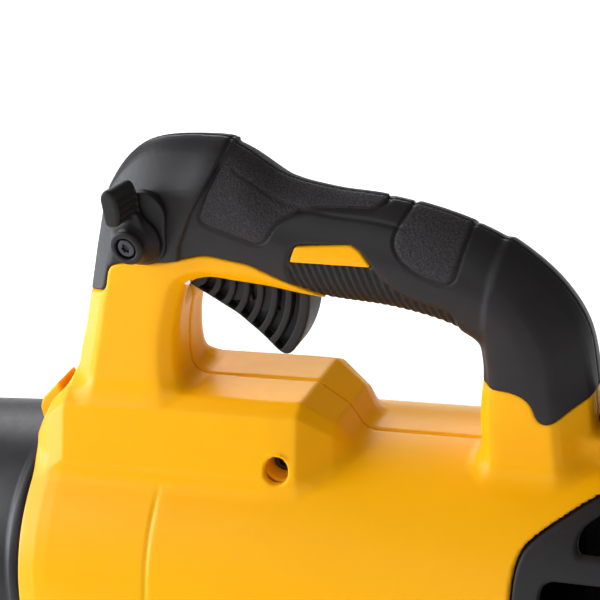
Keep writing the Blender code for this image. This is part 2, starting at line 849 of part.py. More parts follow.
def make_trigger():
    low, high = TRIGGER_ARC_DEG
    arc = []
    for i in range(8):
        angle = math.radians(low + (high - low) * i / 7)
        arc.append(
            (
                TRIGGER_PIVOT.x + TRIGGER_ARC_R * math.cos(angle),
                TRIGGER_PIVOT.z + TRIGGER_ARC_R * math.sin(angle),
            )
        )
    blade = prism(TRIGGER_FRONT + TRIGGER_TIP + tuple(arc), -TRIGGER_HALF_WIDTH, TRIGGER_HALF_WIDTH)
    join(blade, across(TRIGGER_PIVOT, -0.0066, 0.0066, 0.0052, sides=20))
    cut(blade, across(TRIGGER_PIVOT, -0.02, 0.02, 0.0023, sides=16))
    cut(blade, box((-0.030, -0.0045, 0.137), (0.0065, 0.0045, 0.16)))
    join(blade, box((-0.016, -0.0060, 0.1300), (-0.008, 0.0060, 0.1495)))
    part(blade, "trigger", "black", TRIGGER_PIVOT)
    part(across(TRIGGER_PIVOT, -0.0135, 0.0135, 0.0020, sides=16), "trigger_pin", "steel")
    spring = coil((-0.0235, 0, 0.1378), (-0.0235, 0, 0.1636), 0.0034, 5, 0.0005, steps=7)
    part(spring, "trigger_spring", "steel")

    switch = rounded_box((-0.031, -0.0090, 0.1645), (0.004, 0.0090, 0.1830), 0.0010, 1)
    cut(switch, cylinder((-0.012, 0, 0.150), (-0.012, 0, 0.1785), 0.0037, sides=16))
    part(switch, "switch_module", "black")
    plunger = cylinder((-0.012, 0, 0.1510), (-0.012, 0, 0.1695), 0.0033, sides=16)
    part(plunger, "switch_plunger", "black", Vector((-0.012, 0, 0.151)))


def make_lever():
    x, z = LEVER_AXIS.x, LEVER_AXIS.z
    upper_disc = LEVER_AXIS + Vector((0.006, 0.0, 0.011))
    base = across(LEVER_AXIS, -0.0208, -0.0188, 0.0125, sides=28)
    join(base, across(upper_disc, -0.0208, -0.0188, 0.0090, sides=20))
    cut(base, across(LEVER_AXIS, -0.03, -0.01, 0.0044))
    part(base, "lever_base", "black")

    lever = across(LEVER_AXIS, -0.0300, -0.0212, 0.0074, 0.0116)
    paddle = ((x - 0.0030, z + 0.004), (x - 0.0045, z + 0.0225), (x - 0.0030, z + 0.0255))
    paddle += ((x, z + 0.0255), (x + 0.0020, z + 0.0225), (x + 0.0030, z + 0.004))
    join(lever, prism(paddle, -0.0335, -0.0216))
    join(lever, across(LEVER_AXIS, -0.0250, -0.0100, 0.0040))
    cut(lever, across(LEVER_AXIS, -0.0400, -0.0278, 0.0048, sides=20))
    cut(lever, across(LEVER_AXIS, -0.0500, 0.0, 0.0017, sides=12))
    part(lever, "speed_lever", "black", LEVER_AXIS)

    screw = across(LEVER_AXIS, -0.0298, -0.0281, 0.0040, sides=20)
    join(screw, across(LEVER_AXIS, -0.0286, -0.0040, 0.0014, sides=12))
    cut(screw, across(LEVER_AXIS, -0.0400, -0.0288, 0.0018, sides=6))
    part(screw, "lever_screw", "dark_steel", LEVER_AXIS)

    cam = across(LEVER_AXIS, -0.0097, -0.0050, 0.0075, sides=20)
    join(
        cam,
        prism(
            ((x, z - 0.0070), (x + 0.013, z - 0.0055), (x + 0.013, z - 0.0005), (x, z + 0.0070)),
            -0.0097,
            -0.0050,
        ),
    )
    cut(cam, across(LEVER_AXIS, -0.0200, 0.0, 0.0017, sides=12))
    part(cam, "speed_lock_cam", "black", LEVER_AXIS)


# ---- electronics ----


def make_electronics():
    board = box((0.040, -0.026, -0.0845), (0.084, 0.026, -0.0829))
    part(board, "controller_board", "board")
    sink = box((0.046, -0.022, -0.0890), (0.0665, 0.022, -0.0848))
    for k in range(5):
        y = -0.0165 + 0.00825 * k
        cut(sink, box((0.040, y - 0.0022, -0.1000), (0.090, y + 0.0022, -0.0864)))
    part(sink, "heat_sink", "aluminium")
    route = (
        (-0.002, 0.0, 0.1834),
        (0.008, 0, 0.1800),
        (0.030, 0.0, 0.1650),
        (0.055, 0.0, 0.1580),
        (0.080, 0.0, 0.1480),
    )
    route += ((0.096, 0.0, 0.1300), (0.099, 0.0, 0.1000), (0.098, 0.0, 0.0780))
    part(wire([Vector(p) + Vector((0.0075, 0, 0)) for p in route], 0.0026), "wiring_harness", "rubber")
    foot = prism(((-0.104, -0.114), (-0.068, -0.114), (-0.069, -0.1086), (-0.103, -0.1086)), -0.027, 0.027)
    part(foot, "front_foot", "rubber")


# ---- battery pack ----


def make_battery():
    low, high, split = PACK_LOW, PACK_HIGH, PACK_SPLIT_Z
    origin = Vector((low.x, 0, high.z))
    lower = rounded_box(low, (high.x, high.y, split + 0.02), 0.0045)
    cut(lower, box((low.x - 0.01, -0.1, split), (high.x + 0.01, 0.1, 0.0)))
    cut(
        lower,
        box((low.x + 0.0025, low.y + 0.0025, low.z + 0.0025), (high.x - 0.0025, high.y - 0.0025, 0.0)),
    )
    part(lower, "battery_case_lower", "black", origin)

    upper = rounded_box((low.x, low.y, split - 0.02), (high.x, high.y, high.z), 0.0035)
    cut(upper, box((low.x - 0.01, -0.1, -0.2), (high.x + 0.01, 0.1, split + GAP)))
    cut(
        upper,
        box((low.x + 0.0025, low.y + 0.0025, -0.2), (high.x - 0.0025, high.y - 0.0025, high.z - 0.0025)),
    )
    join(upper, box((low.x + 0.0015, -0.0200, high.z - 0.001), (0.194, 0.0200, -0.0590)))
    join(upper, box((low.x + 0.0015, -0.0240, -0.0600), (0.194, 0.0240, -0.0562)))
    for y in (-0.012, 0.0, 0.012):
        cut(upper, box((low.x - 0.01, y - 0.0016, -0.0676), (0.115, y + 0.0016, -0.0590)))
    cut(upper, box((0.1967, -0.0123, -0.0750), (0.2083, 0.0123, -0.0500)))
    cut(upper, cylinder((0.205, 0.022, -0.074), (0.22, 0.022, -0.074), 0.0034, sides=20))
    part(upper, "battery_case_upper", "black", origin)

    button = rounded_box((0.1970, -0.0120, -0.0700), (0.2080, 0.0120, -0.0595), 0.0012, 1)
    part(button, "battery_release_button", "yellow", Vector((0.2025, 0, -0.0595)))
    gauge = cylinder((0.2060, 0.022, -0.074), (0.2137, 0.022, -0.074), 0.0031, sides=20)
    part(gauge, "fuel_gauge_button", "grip", Vector((0.2137, 0.022, -0.074)))
    panel = rounded_box((0.2128, -0.018, -0.0785), (0.2136, 0.016, -0.0695), 0.0003, 1)
    part(panel, "fuel_gauge_panel", "black", origin)

    pitch = 2 * CELL_R + 0.0016
    for row, z in ((1, low.z + 0.0035 + CELL_R), (2, low.z + 0.0035 + 3 * CELL_R + 0.0006)):
        first = (low.x + high.x) / 2 - pitch * (CELLS_IN_ROW - 1) / 2
        ends = (-CELL_LENGTH / 2, CELL_LENGTH / 2)
        strip_low, strip_high = (first - 0.004, z - 0.003), (
            first + pitch * (CELLS_IN_ROW - 1) + 0.004, z + 0.003
        )
        row_body = box(
            (strip_low[0], ends[0] - 0.0004, strip_low[1]), (strip_high[0], ends[0] + 0.0004, strip_high[1])
        )
        for k in range(CELLS_IN_ROW):
            x = first + pitch * k
            join(row_body, cylinder((x, ends[0], z), (x, ends[1], z), CELL_R, sides=16))
        part(row_body, f"cell_row_{row}", "cell", origin)
    board = box((0.120, -0.030, -0.0722), (0.190, 0.030, -0.0708))
    part(board, "battery_board", "board", origin)


def main():
    clear_scene()
    make_handle()
    make_screws()
    make_intake_cover()
    make_receiver()
    make_duct()
    make_motor()
    make_fan()
    make_tube()
    make_latch()
    make_trigger()
    make_lever()
    make_electronics()
    make_battery()
    for obj in bpy.data.objects:
        if obj.parent is None:
            obj.location += STAND


main()
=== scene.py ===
"""Looks of the cordless leaf blower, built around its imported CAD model.

Shapes are drawn in the barrel's own frame, in metres: X runs back along the barrel axis, Y to the
tool's right and Z up. Moulded pieces are modelled as fields, arrays of signed distance that are
negative inside the solid, so that walls meet in fillets and every edge is rounded.
"""

import json
import math

import bpy
import numpy as np
import openvdb
from mathutils import Matrix, Vector


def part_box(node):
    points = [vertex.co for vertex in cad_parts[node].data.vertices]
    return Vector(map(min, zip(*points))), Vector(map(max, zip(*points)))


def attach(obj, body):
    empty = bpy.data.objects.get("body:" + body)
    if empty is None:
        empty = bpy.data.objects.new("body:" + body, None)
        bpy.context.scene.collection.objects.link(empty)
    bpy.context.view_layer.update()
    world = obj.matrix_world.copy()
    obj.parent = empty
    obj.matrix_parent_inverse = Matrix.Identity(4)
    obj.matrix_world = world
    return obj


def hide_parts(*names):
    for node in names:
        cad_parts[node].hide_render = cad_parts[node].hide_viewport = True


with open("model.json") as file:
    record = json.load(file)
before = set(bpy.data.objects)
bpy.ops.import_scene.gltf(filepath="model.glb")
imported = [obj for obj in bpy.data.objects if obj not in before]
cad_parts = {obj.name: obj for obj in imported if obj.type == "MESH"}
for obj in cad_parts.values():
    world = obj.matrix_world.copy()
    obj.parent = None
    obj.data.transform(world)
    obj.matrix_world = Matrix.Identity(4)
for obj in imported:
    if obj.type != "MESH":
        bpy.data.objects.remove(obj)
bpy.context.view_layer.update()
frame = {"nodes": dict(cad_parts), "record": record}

RECORD = frame["record"]
BODY_OF = {node: body for body, nodes in RECORD["behaviour"]["bodies"].items() for node in nodes}
SLOT_OF = {row["node"]: row["material_slot"] for row in RECORD["subparts"]}
PIVOT = {joint["name"]: joint.get("pos_m") for joint in RECORD["behaviour"]["joints"]}

# The barrel axis, where the fan turns, in the world.
STAND = np.array(PIVOT["fan_spin"], float)

# Sample spacing of the fields, and how many samples either side of a surface a mesh's field reaches.
COARSEN = 1.0
SHELL_STEP = 0.0008 * COARSEN
GRIP_STEP = 0.0006 * COARSEN
FINE_STEP = 0.0004 * COARSEN
BAND = 14

# Sizes shared with the CAD model.
GAP = 0.0003
WALL = 0.003
BARREL_R = 0.074
BORE_R = 0.071
FRONT_X = -0.128
REAR_X = 0.097
LIP_R = 0.0658
LIP_END_X = -0.0965
TONGUE_X = 0.152
TUBE_R = 0.0645
TAPER_X = -0.140
TUBE_END_X = -0.560
TUBE_END_R = 0.050
TUBE_WALL = 0.0022
NOZZLE_X = (-0.690, -0.535)
TRIGGER_PIVOT = Vector(PIVOT["trigger_pull"]) - Vector(STAND)
LEVER_AXIS = Vector(PIVOT["speed_lever_turn"]) - Vector(STAND)

# Stations of the handle from the foot of its front pillar over the top to the foot of its rear
# pillar: a point on its outer side, one on its inner side (X, Z), the half width, and how boxy the
# section is, from 0, an oval, to 1, a box with a chamfered outer side.
HANDLE = (
    ((-0.119, 0.06), (-0.056, 0.06), 0.021, 1.0),
    ((-0.112, 0.096), (-0.0575, 0.1), 0.019, 1.0),
    ((-0.101, 0.122), (-0.055, 0.118), 0.018, 1.0),
    ((-0.092, 0.144), (-0.049, 0.134), 0.0175, 1.0),
    ((-0.083, 0.166), (-0.041, 0.1465), 0.0175, 0.9),
    ((-0.073, 0.187), (-0.028, 0.1495), 0.018, 0.7),
    ((-0.056, 0.202), (-0.014, 0.146), 0.0185, 0.4),
    ((-0.036, 0.206), (-0.001, 0.143), 0.0185, 0.2),
    ((-0.017, 0.203), (0.007, 0.1405), 0.018, 0.1),
    ((0.002, 0.19), (0.015, 0.139), 0.0175, 0.0),
    ((0.024, 0.184), (0.026, 0.1375), 0.0175, 0.0),
    ((0.046, 0.181), (0.044, 0.1355), 0.0175, 0.0),
    ((0.069, 0.175), (0.06, 0.1318), 0.0175, 0.0),
    ((0.089, 0.166), (0.0712, 0.1275), 0.017, 0.1),
    ((0.103, 0.155), (0.079, 0.1215), 0.017, 0.2),
    ((0.113, 0.143), (0.0793, 0.1135), 0.0175, 0.3),
    ((0.119, 0.129), (0.078, 0.105), 0.018, 0.5),
    ((0.12, 0.112), (0.0762, 0.097), 0.0185, 0.8),
    ((0.119, 0.09), (0.075, 0.085), 0.0195, 1.0),
    ((0.118, 0.06), (0.074, 0.06), 0.021, 1.0),
)
HANDLE_ROUND = 0.004
COVER_ROUND = 0.010
GRIP_ROUND = 0.004
PANEL_ROUND = 0.005
BADGE_ROUND = 0.0012

# Where the black grip ends and the yellow housing starts (X, Z).
GRIP_OUTLINE = (
    (-0.130, 0.1300),
    (-0.0960, 0.1370),
    (-0.0795, 0.1435),
    (-0.0755, 0.1545),
    (-0.0700, 0.1565),
    (-0.047, 0.158),
    (-0.028, 0.162),
    (-0.009, 0.158),
    (0.002, 0.151),
    (0.018, 0.1415),
    (0.020, 0.110),
    (0.094, 0.108),
    (0.100, 0.104),
    (0.1015, 0.096),
    (0.106, 0.0945),
    (0.114, 0.099),
    (0.135, 0.107),
    (0.135, 0.230),
    (-0.130, 0.230),
)

# Features drawn on the grip's sides (X, Z).
HEAD_EDGE = (
    (-0.012, 0.216),
    (-0.0135, 0.203),
    (-0.020, 0.194),
    (-0.029, 0.181),
    (-0.038, 0.166),
    (-0.043, 0.150),
)
HOOD_EDGE = (
    (0.097, 0.178),
    (0.094, 0.168),
    (0.090, 0.156),
    (0.087, 0.145),
    (0.084, 0.134),
    (0.083, 0.100),
)
FRONT_PANEL = (
    (-0.008, 0.225),
    (-0.016, 0.199),
    (-0.0275, 0.1775),
    (-0.001, 0.1665),
    (0.006, 0.1765),
    (0.018, 0.1795),
    (0.047, 0.178),
    (0.0535, 0.185),
    (0.0590, 0.205),
)
REAR_PANEL = (
    (0.0660, 0.205),
    (0.0625, 0.184),
    (0.0525, 0.170),
    (0.0545, 0.163),
    (0.0630, 0.156),
    (0.0755, 0.1515),
    (0.0800, 0.165),
    (0.0860, 0.195),
)
FINGER_PANEL = (
    (0.0085, 0.1625),
    (0.0060, 0.153),
    (0.0085, 0.145),
    (0.022, 0.130),
    (0.072, 0.120),
    (0.0735, 0.1405),
    (0.0600, 0.1445),
    (0.0520, 0.1485),
    (0.0435, 0.1590),
    (0.0385, 0.1668),
    (0.0125, 0.1680),
)
BADGE_OUTLINE = ((0.009, 0.160), (0.0125, 0.1665), (0.036, 0.1672), (0.0395, 0.165), (0.0435, 0.159))
RIB_PITCH = 0.0031

# Openings and outlines of the housing (X, Z).
COVER_OUTLINE = (
    (REAR_X, -0.130),
    (REAR_X, 0.054),
    (0.104, 0.0605),
    (0.126, 0.070),
    (TONGUE_X, 0.0725),
    (TONGUE_X, 0.090),
    (0.200, 0.090),
    (0.200, -0.130),
)
BELLY_OUTLINE = (
    (-0.014, -0.050),
    (-0.010, -0.0745),
    (0.030, -0.0875),
    (0.068, -0.105),
    (REAR_X, -0.108),
    (REAR_X, -0.050),
)
FOOT_OUTLINE = ((-0.107, -0.050), (-0.102, -0.1083), (-0.070, -0.1083), (-0.065, -0.050))
SPINE_OUTLINE = ((0.110, 0.066), (0.110, 0.084), (0.148, 0.084), (TONGUE_X, 0.080), (TONGUE_X, 0.066))
TRIGGER_SLOT = ((-0.049, -0.0078, 0.120), (0.0188, 0.0078, 0.170))
# Housing screws: their X and Z, how far their posts reach from the parting plane, and where the head sits.
SCREWS = (
    (-0.0080, 0.0727, 0.0320, 0.0235),
    (-0.086, -0.092, 0.0140, 0.0080),
    (0.030, -0.0797, 0.0345, 0.0285),
    (0.074, -0.0935, 0.0345, 0.0285),
)


# ---- fields ----


class Grid:
    """Sample points over a box, step apart."""

    def __init__(self, low, high, step):
        self.step = step
        self.first = [math.floor(value / step) for value in low]
        self.shape = tuple(math.ceil(value / step) - first + 1 for value, first in zip(high, self.first))
        spans = zip(self.shape, self.first)
        x, y, z = ((np.arange(count, dtype=np.float32) + first) * step for count, first in spans)
        self.x = x[:, None, None].astype(np.float32)
        self.y = y[None, :, None].astype(np.float32)
        self.z = z[None, None, :].astype(np.float32)


def path_distance(u, v, points):
    """Distance from (u, v) to a line through points."""
    nearest = np.float32(1.0)
    for (ax, ay), (bx, by) in zip(points, points[1:]):
        ex, ey = bx - ax, by - ay
        length = ex * ex + ey * ey
        if not length:
            continue
        share = np.clip(((u - ax) * ex + (v - ay) * ey) / length, 0.0, 1.0)
        nearest = np.minimum(nearest, np.hypot(u - ax - share * ex, v - ay - share * ey))
    return nearest


def outline_distance(u, v, outline):
    """Signed distance from (u, v) to a closed outline."""
    outline = list(outline)
    closed = outline + outline[:1]
    inside = False
    for (ax, ay), (bx, by) in zip(closed, closed[1:]):
        if ay != by:
            inside ^= ((ay <= v) != (by <= v)) & (u < ax + (v - ay) * (bx - ax) / (by - ay))
    nearest = path_distance(u, v, closed)
    return np.where(inside, -nearest, nearest)


def edge_distance(u, v, points):
    """Distance to a line that runs from top to bottom, negative in front of it."""
    heights = [point[1] for point in reversed(points)]
    places = [point[0] for point in reversed(points)]
    return np.copysign(path_distance(u, v, points), u - np.interp(v, heights, places))


def rounded(outline, radius, steps=5):
    """The outline with each corner turned into a curve that starts radius away from it."""
    found = []
    for i, corner in enumerate(outline):
        corner, before, after = (Vector(outline[k % len(outline)]) for k in (i, i - 1, i + 1))
        start = corner.lerp(before, min(radius / (before - corner).length, 0.5))
        end = corner.lerp(after, min(radius / (after - corner).length, 0.5))
        for k in range(steps + 1):
            share = k / steps
            found.append(tuple(start.lerp(corner, share).lerp(corner.lerp(end, share), share)))
    return found


def join(a, b, blend=0.0):
    """Union, with a fillet about as wide as blend."""
    if not blend:
        return np.minimum(a, b)
    near = np.maximum(blend - np.abs(a - b), 0.0)
    return np.minimum(a, b) - near * near / (4 * blend)


def keep(a, b, blend=0.0):
    return -join(-a, -b, blend)


def cut(a, b, blend=0.0):
    return -join(-a, b, blend)


def slab(values, low, high):
    return np.maximum(low - values, values - high)


def smooth_step(value, low, high):
    """0 below low and 1 above high, with a smooth rise between."""
    share = np.clip((value - low) / (high - low), 0.0, 1.0)
    return share * share * (3 - 2 * share)


def line_at(distance, width):
    """A line's profile: 1 where distance is 0, falling away within about width."""
    return np.exp(-((distance / width) ** 2))


def prism(g, outline, low, high, blend=0.0):
    """An outline of (X, Z) points extruded along Y."""
    return keep(outline_distance(g.x, g.z, outline), slab(g.y, low, high), blend)


def block(g, low, high):
    reach = [np.maximum(lo - v, v - hi) for v, lo, hi in zip((g.x, g.y, g.z), low, high)]
    outside = np.sqrt(sum(np.maximum(r, 0.0) ** 2 for r in reach))
    inside = np.minimum(np.maximum(np.maximum(reach[0], reach[1]), reach[2]), 0.0)
    return outside + inside


def peg(g, x, z, radius, low, high, blend=0.0):
    """A cylinder along Y."""
    return keep(np.hypot(g.x - x, g.z - z) - radius, slab(g.y, low, high), blend)


def turned(g, profile):
    """A profile of (X, radius) points, from the barrel axis and back to it, turned about that axis."""
    profile = [*profile, *((x, -radius) for x, radius in reversed(profile))]
    radius = np.hypot(g.y, g.z)[0]
    radii = np.arange(int(radius.max() / g.step) + 3, dtype=np.float32) * g.step
    table = outline_distance(g.x[:, :, 0], radii[None, :], profile).astype(np.float32)
    low = (radius / g.step).astype(int)
    share = (radius / g.step - low).astype(np.float32)
    return table[:, low] * (1 - share) + table[:, low + 1] * share


def surface_field(g, points, triangles):
    """The field of a closed mesh of triangles."""
    grid = openvdb.FloatGrid.createLevelSetFromPolygons(
        np.ascontiguousarray(points, np.float32),
        triangles=np.ascontiguousarray(triangles, np.uint32),
        transform=openvdb.createLinearTransform(voxelSize=g.step),
        halfWidth=float(BAND),
    )
    field = np.empty(g.shape, np.float32)
    grid.copyToArray(field, ijk=g.first)
    return field


def lofted(g, rings):
    """A solid through rings of points, with flat ends."""
    rings = np.asarray(rings, float)
    count, sides = rings.shape[:2]
    points = np.vstack([rings.reshape(-1, 3), rings[0].mean(0), rings[-1].mean(0)])
    i, j = np.meshgrid(np.arange(count - 1), np.arange(sides), indexing="ij")
    a, b = i * sides + j, i * sides + (j + 1) % sides
    walls = np.stack([a, b, b + sides, a, b + sides, a + sides], -1).reshape(-1, 3)
    around = np.arange(sides)
    on = (around + 1) % sides
    last = (count - 1) * sides
    first_cap = np.stack([on, around, np.full(sides, count * sides)], -1)
    last_cap = np.stack([last + around, last + on, np.full(sides, count * sides + 1)], -1)
    return surface_field(g, points, np.vstack([walls, first_cap, last_cap]))


def softened(field, passes):
    """Rounds every edge of a solid by about a sample for each two passes."""
    for axis in range(3):
        for _ in range(passes):
            field = 0.5 * field + 0.25 * (np.roll(field, 1, axis) + np.roll(field, -1, axis))
    return field


def cad_grid(node, step, margin=0.003):
    low, high = (np.array(corner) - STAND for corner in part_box(node))
    return Grid(low - margin, high + margin, step)


def cad_field(g, node):
    mesh = frame["nodes"][node].data
    mesh.calc_loop_triangles()
    points = np.empty(len(mesh.vertices) * 3, np.float32)
    mesh.vertices.foreach_get("co", points)
    faces = np.empty(len(mesh.loop_triangles) * 3, np.int32)
    mesh.loop_triangles.foreach_get("vertices", faces)
    return surface_field(g, points.reshape(-1, 3) - STAND, faces.reshape(-1, 3))


def whole_bodies(points, quads, least=0.02):
    """The quads of each body that holds more than this share of them all."""
    label = np.arange(len(points))
    while True:
        low = label[quads].min(axis=1)
        lower = label.copy()
        np.minimum.at(lower, quads, low[:, None])
        lower = lower[lower]
        if (lower == label).all():
            break
        label = lower
    body = label[quads[:, 0]]
    names, counts = np.unique(body, return_counts=True)
    return quads[np.isin(body, names[counts > least * len(quads)])]


def mesh_object(name, points, faces):
    """A smooth-shaded mesh from points in the barrel's frame."""
    mesh = bpy.data.meshes.new(name)
    sides = faces.shape[1]
    mesh.vertices.add(len(points))
    mesh.vertices.foreach_set("co", (points + STAND).astype(np.float32).ravel())
    mesh.loops.add(faces.size)
    mesh.loops.foreach_set("vertex_index", faces.astype(np.int32).ravel())
    mesh.polygons.add(len(faces))
    mesh.polygons.foreach_set("loop_start", np.arange(0, faces.size, sides, dtype=np.int32))
    mesh.update(calc_edges=True)
    mesh.validate()
    mesh.shade_smooth()
    obj = bpy.data.objects.new(name, mesh)
    bpy.context.scene.collection.objects.link(obj)
    return obj


def solid(g, field, name, mirrored=False):
    """The surface of a field as a mesh object."""
    reach = 3 * g.step
    grid = openvdb.FloatGrid(reach)
    grid.copyFromArray(np.clip(field, -reach, reach).astype(np.float32), ijk=g.first, tolerance=0.0)
    grid.transform = openvdb.createLinearTransform(voxelSize=g.step)
    points, quads = grid.convertToQuads(isovalue=0.0)
    points, quads = np.array(points), whole_bodies(points, quads.astype(np.int64))
    used, quads = np.unique(quads, return_inverse=True)
    points, quads = points[used], quads.reshape(-1, 4)
    if mirrored:
        return mesh_object(name, points * (1, -1, 1), quads)
    return mesh_object(name, points, quads[:, ::-1])


def skin(name, rings):
    """A mesh through rings of points, with the last ring joined to the first."""
    rings = np.asarray(rings, float)
    count, sides = rings.shape[:2]
    i, j = np.meshgrid(np.arange(count), np.arange(sides), indexing="ij")
    k, on = (i + 1) % count, (j + 1) % sides
    quads = np.stack([i * sides + j, i * sides + on, k * sides + on, k * sides + j], -1)
    return mesh_object(name, rings.reshape(-1, 3), quads.reshape(-1, 4))


# ---- materials ----


def nodes_for(name):
    material = bpy.data.materials.new(name)
    material.use_nodes = True
    tree = material.node_tree
    return material, tree, tree.nodes["Principled BSDF"]


def noise(tree, scale, detail=3.0, roughness=0.55, stretch=None):
    """A noise texture in the piece's own coordinates, scale cells to the metre."""
    where = tree.nodes.new("ShaderNodeTexCoord")
    texture = tree.nodes.new("ShaderNodeTexNoise")
    texture.inputs["Scale"].default_value = scale
    texture.inputs["Detail"].default_value = detail
    texture.inputs["Roughness"].default_value = roughness
    source = where.outputs["Object"]
    if stretch:
        mapping = tree.nodes.new("ShaderNodeMapping")
        mapping.inputs["Scale"].default_value = stretch
        tree.links.new(source, mapping.inputs["Vector"])
        source = mapping.outputs["Vector"]
    tree.links.new(source, texture.inputs["Vector"])
    return texture.outputs["Fac"]


def spread(tree, value, low, high, from_low=0.3, from_high=0.7):
    """Maps a noise value onto low to high."""
    node = tree.nodes.new("ShaderNodeMapRange")
    limits = {"From Min": from_low, "From Max": from_high, "To Min": low, "To Max": high}
    for socket, number in limits.items():
        node.inputs[socket].default_value = number
    tree.links.new(value, node.inputs["Value"])
    return node.outputs["Result"]


def mixed(tree, share, first, second):
    node = tree.nodes.new("ShaderNodeMix")
    node.data_type = "RGBA"
    node.inputs["A"].default_value = (*first, 1.0)
    node.inputs["B"].default_value = (*second, 1.0)
    tree.links.new(share, node.inputs["Factor"])
    return node.outputs["Result"]


def times(tree, first, second):
    node = tree.nodes.new("ShaderNodeMath")
    node.operation = "MULTIPLY"
    for socket, value in zip(node.inputs, (first, second)):
        if isinstance(value, float):
            socket.default_value = value
        else:
            tree.links.new(value, socket)
    return node.outputs["Value"]


def bump(tree, shader, height, distance, after=None):
    node = tree.nodes.new("ShaderNodeBump")
    node.inputs["Distance"].default_value = distance
    tree.links.new(height, node.inputs["Height"])
    if after is not None:
        tree.links.new(after, node.inputs["Normal"])
    tree.links.new(node.outputs["Normal"], shader.inputs["Normal"])
    return node.outputs["Normal"]


def moulded(name, colour, roughness, grain=2200.0, depth=0.00002, mottle=0.05, gloss=0.22):
    """Moulded plastic: a faintly mottled colour, a fine spark-eroded grain and uneven gloss."""
    material, tree, shader = nodes_for(name)
    shader.inputs["Specular IOR Level"].default_value = gloss
    broad = noise(tree, 45.0, detail=4.0)
    darker = tuple(c * (1 - mottle) for c in colour)
    lighter = tuple(min(c * (1 + mottle), 1.0) for c in colour)
    tree.links.new(mixed(tree, spread(tree, broad, 0.0, 1.0), darker, lighter), shader.inputs["Base Color"])
    fine = noise(tree, grain, detail=2.0)
    uneven = spread(tree, noise(tree, 300.0), roughness - 0.04, roughness + 0.04)
    tree.links.new(uneven, shader.inputs["Roughness"])
    bump(tree, shader, fine, depth)
    return material


def soft_touch(name, colour, roughness):
    """The grip's black polymer. Its panels, where the panel attribute is 1, have a leathery grain and a
    paler base colour with painted glints.
    """
    material, tree, shader = nodes_for(name)
    shader.inputs["Specular IOR Level"].default_value = 0.22
    panel = tree.nodes.new("ShaderNodeAttribute")
    panel.attribute_name = "panel"
    inside = panel.outputs["Fac"]
    broad = noise(tree, 60.0, detail=4.0)
    lighter = tuple(c * 1.25 for c in colour)
    plain = mixed(tree, spread(tree, broad, 0.0, 1.0), colour, lighter)
    # Painted highlight: the panels' base colour is painted paler, with a fleck of painted glints for the
    # light that the leathery grain catches.
    glint_fleck = spread(tree, noise(tree, 1500.0, detail=2.0), 0.0, 1.0, 0.40, 0.75)
    pale = mixed(tree, glint_fleck, tuple(c * 1.3 for c in colour), tuple(c * 3.2 for c in colour))
    panel_and_glints = tree.nodes.new("ShaderNodeMix")
    panel_and_glints.data_type = "RGBA"
    tree.links.new(plain, panel_and_glints.inputs["A"])
    tree.links.new(pale, panel_and_glints.inputs["B"])
    tree.links.new(inside, panel_and_glints.inputs["Factor"])
    tree.links.new(panel_and_glints.outputs["Result"], shader.inputs["Base Color"])
    gloss = tree.nodes.new("ShaderNodeMath")
    gloss.operation = "ADD"
    tree.links.new(times(tree, inside, 0.16), gloss.inputs[0])
    tree.links.new(spread(tree, noise(tree, 400.0), roughness - 0.03, roughness + 0.03), gloss.inputs[1])
    tree.links.new(gloss.outputs["Value"], shader.inputs["Roughness"])
    leather = noise(tree, 1100.0, detail=3.0, roughness=0.6)
    first = bump(tree, shader, times(tree, leather, inside), 0.00045)
    bump(tree, shader, noise(tree, 2600.0, detail=2.0), 0.00002, after=first)
    return material


def metal(name, colour, roughness, stretch=(1.0, 1.0, 1.0), grain=900.0, depth=0.00001):
    """Ground or cast metal, with its grain drawn out along one axis where stretch says so."""
    material, tree, shader = nodes_for(name)
    lines = noise(tree, grain, detail=4.0, stretch=stretch)
    darker = tuple(c * 0.8 for c in colour)
    tree.links.new(mixed(tree, spread(tree, lines, 0.0, 1.0), darker, colour), shader.inputs["Base Color"])
    tree.links.new(spread(tree, lines, roughness - 0.08, roughness + 0.08), shader.inputs["Roughness"])
    shader.inputs["Metallic"].default_value = 1.0
    bump(tree, shader, lines, depth)
    return material


def printed_board(name):
    """Solder mask with small bright pads."""
    material, tree, shader = nodes_for(name)
    where = tree.nodes.new("ShaderNodeTexCoord")
    pads = tree.nodes.new("ShaderNodeTexVoronoi")
    pads.inputs["Scale"].default_value = 260.0
    tree.links.new(where.outputs["Object"], pads.inputs["Vector"])
    pad = spread(tree, pads.outputs["Distance"], 1.0, 0.0, 0.10, 0.16)
    tree.links.new(mixed(tree, pad, SOLDER_MASK, SOLDER_PAD), shader.inputs["Base Color"])
    tree.links.new(spread(tree, noise(tree, 500.0), 0.30, 0.45), shader.inputs["Roughness"])
    bump(tree, shader, pad, 0.0001)
    return material


YELLOW = (1.0, 0.450, 0.001)
BLACK = (0.017, 0.015, 0.016)
TUBE_BLACK = (0.017, 0.016, 0.018)
SOLDER_MASK = (0.015, 0.11, 0.05)
SOLDER_PAD = (0.55, 0.50, 0.38)


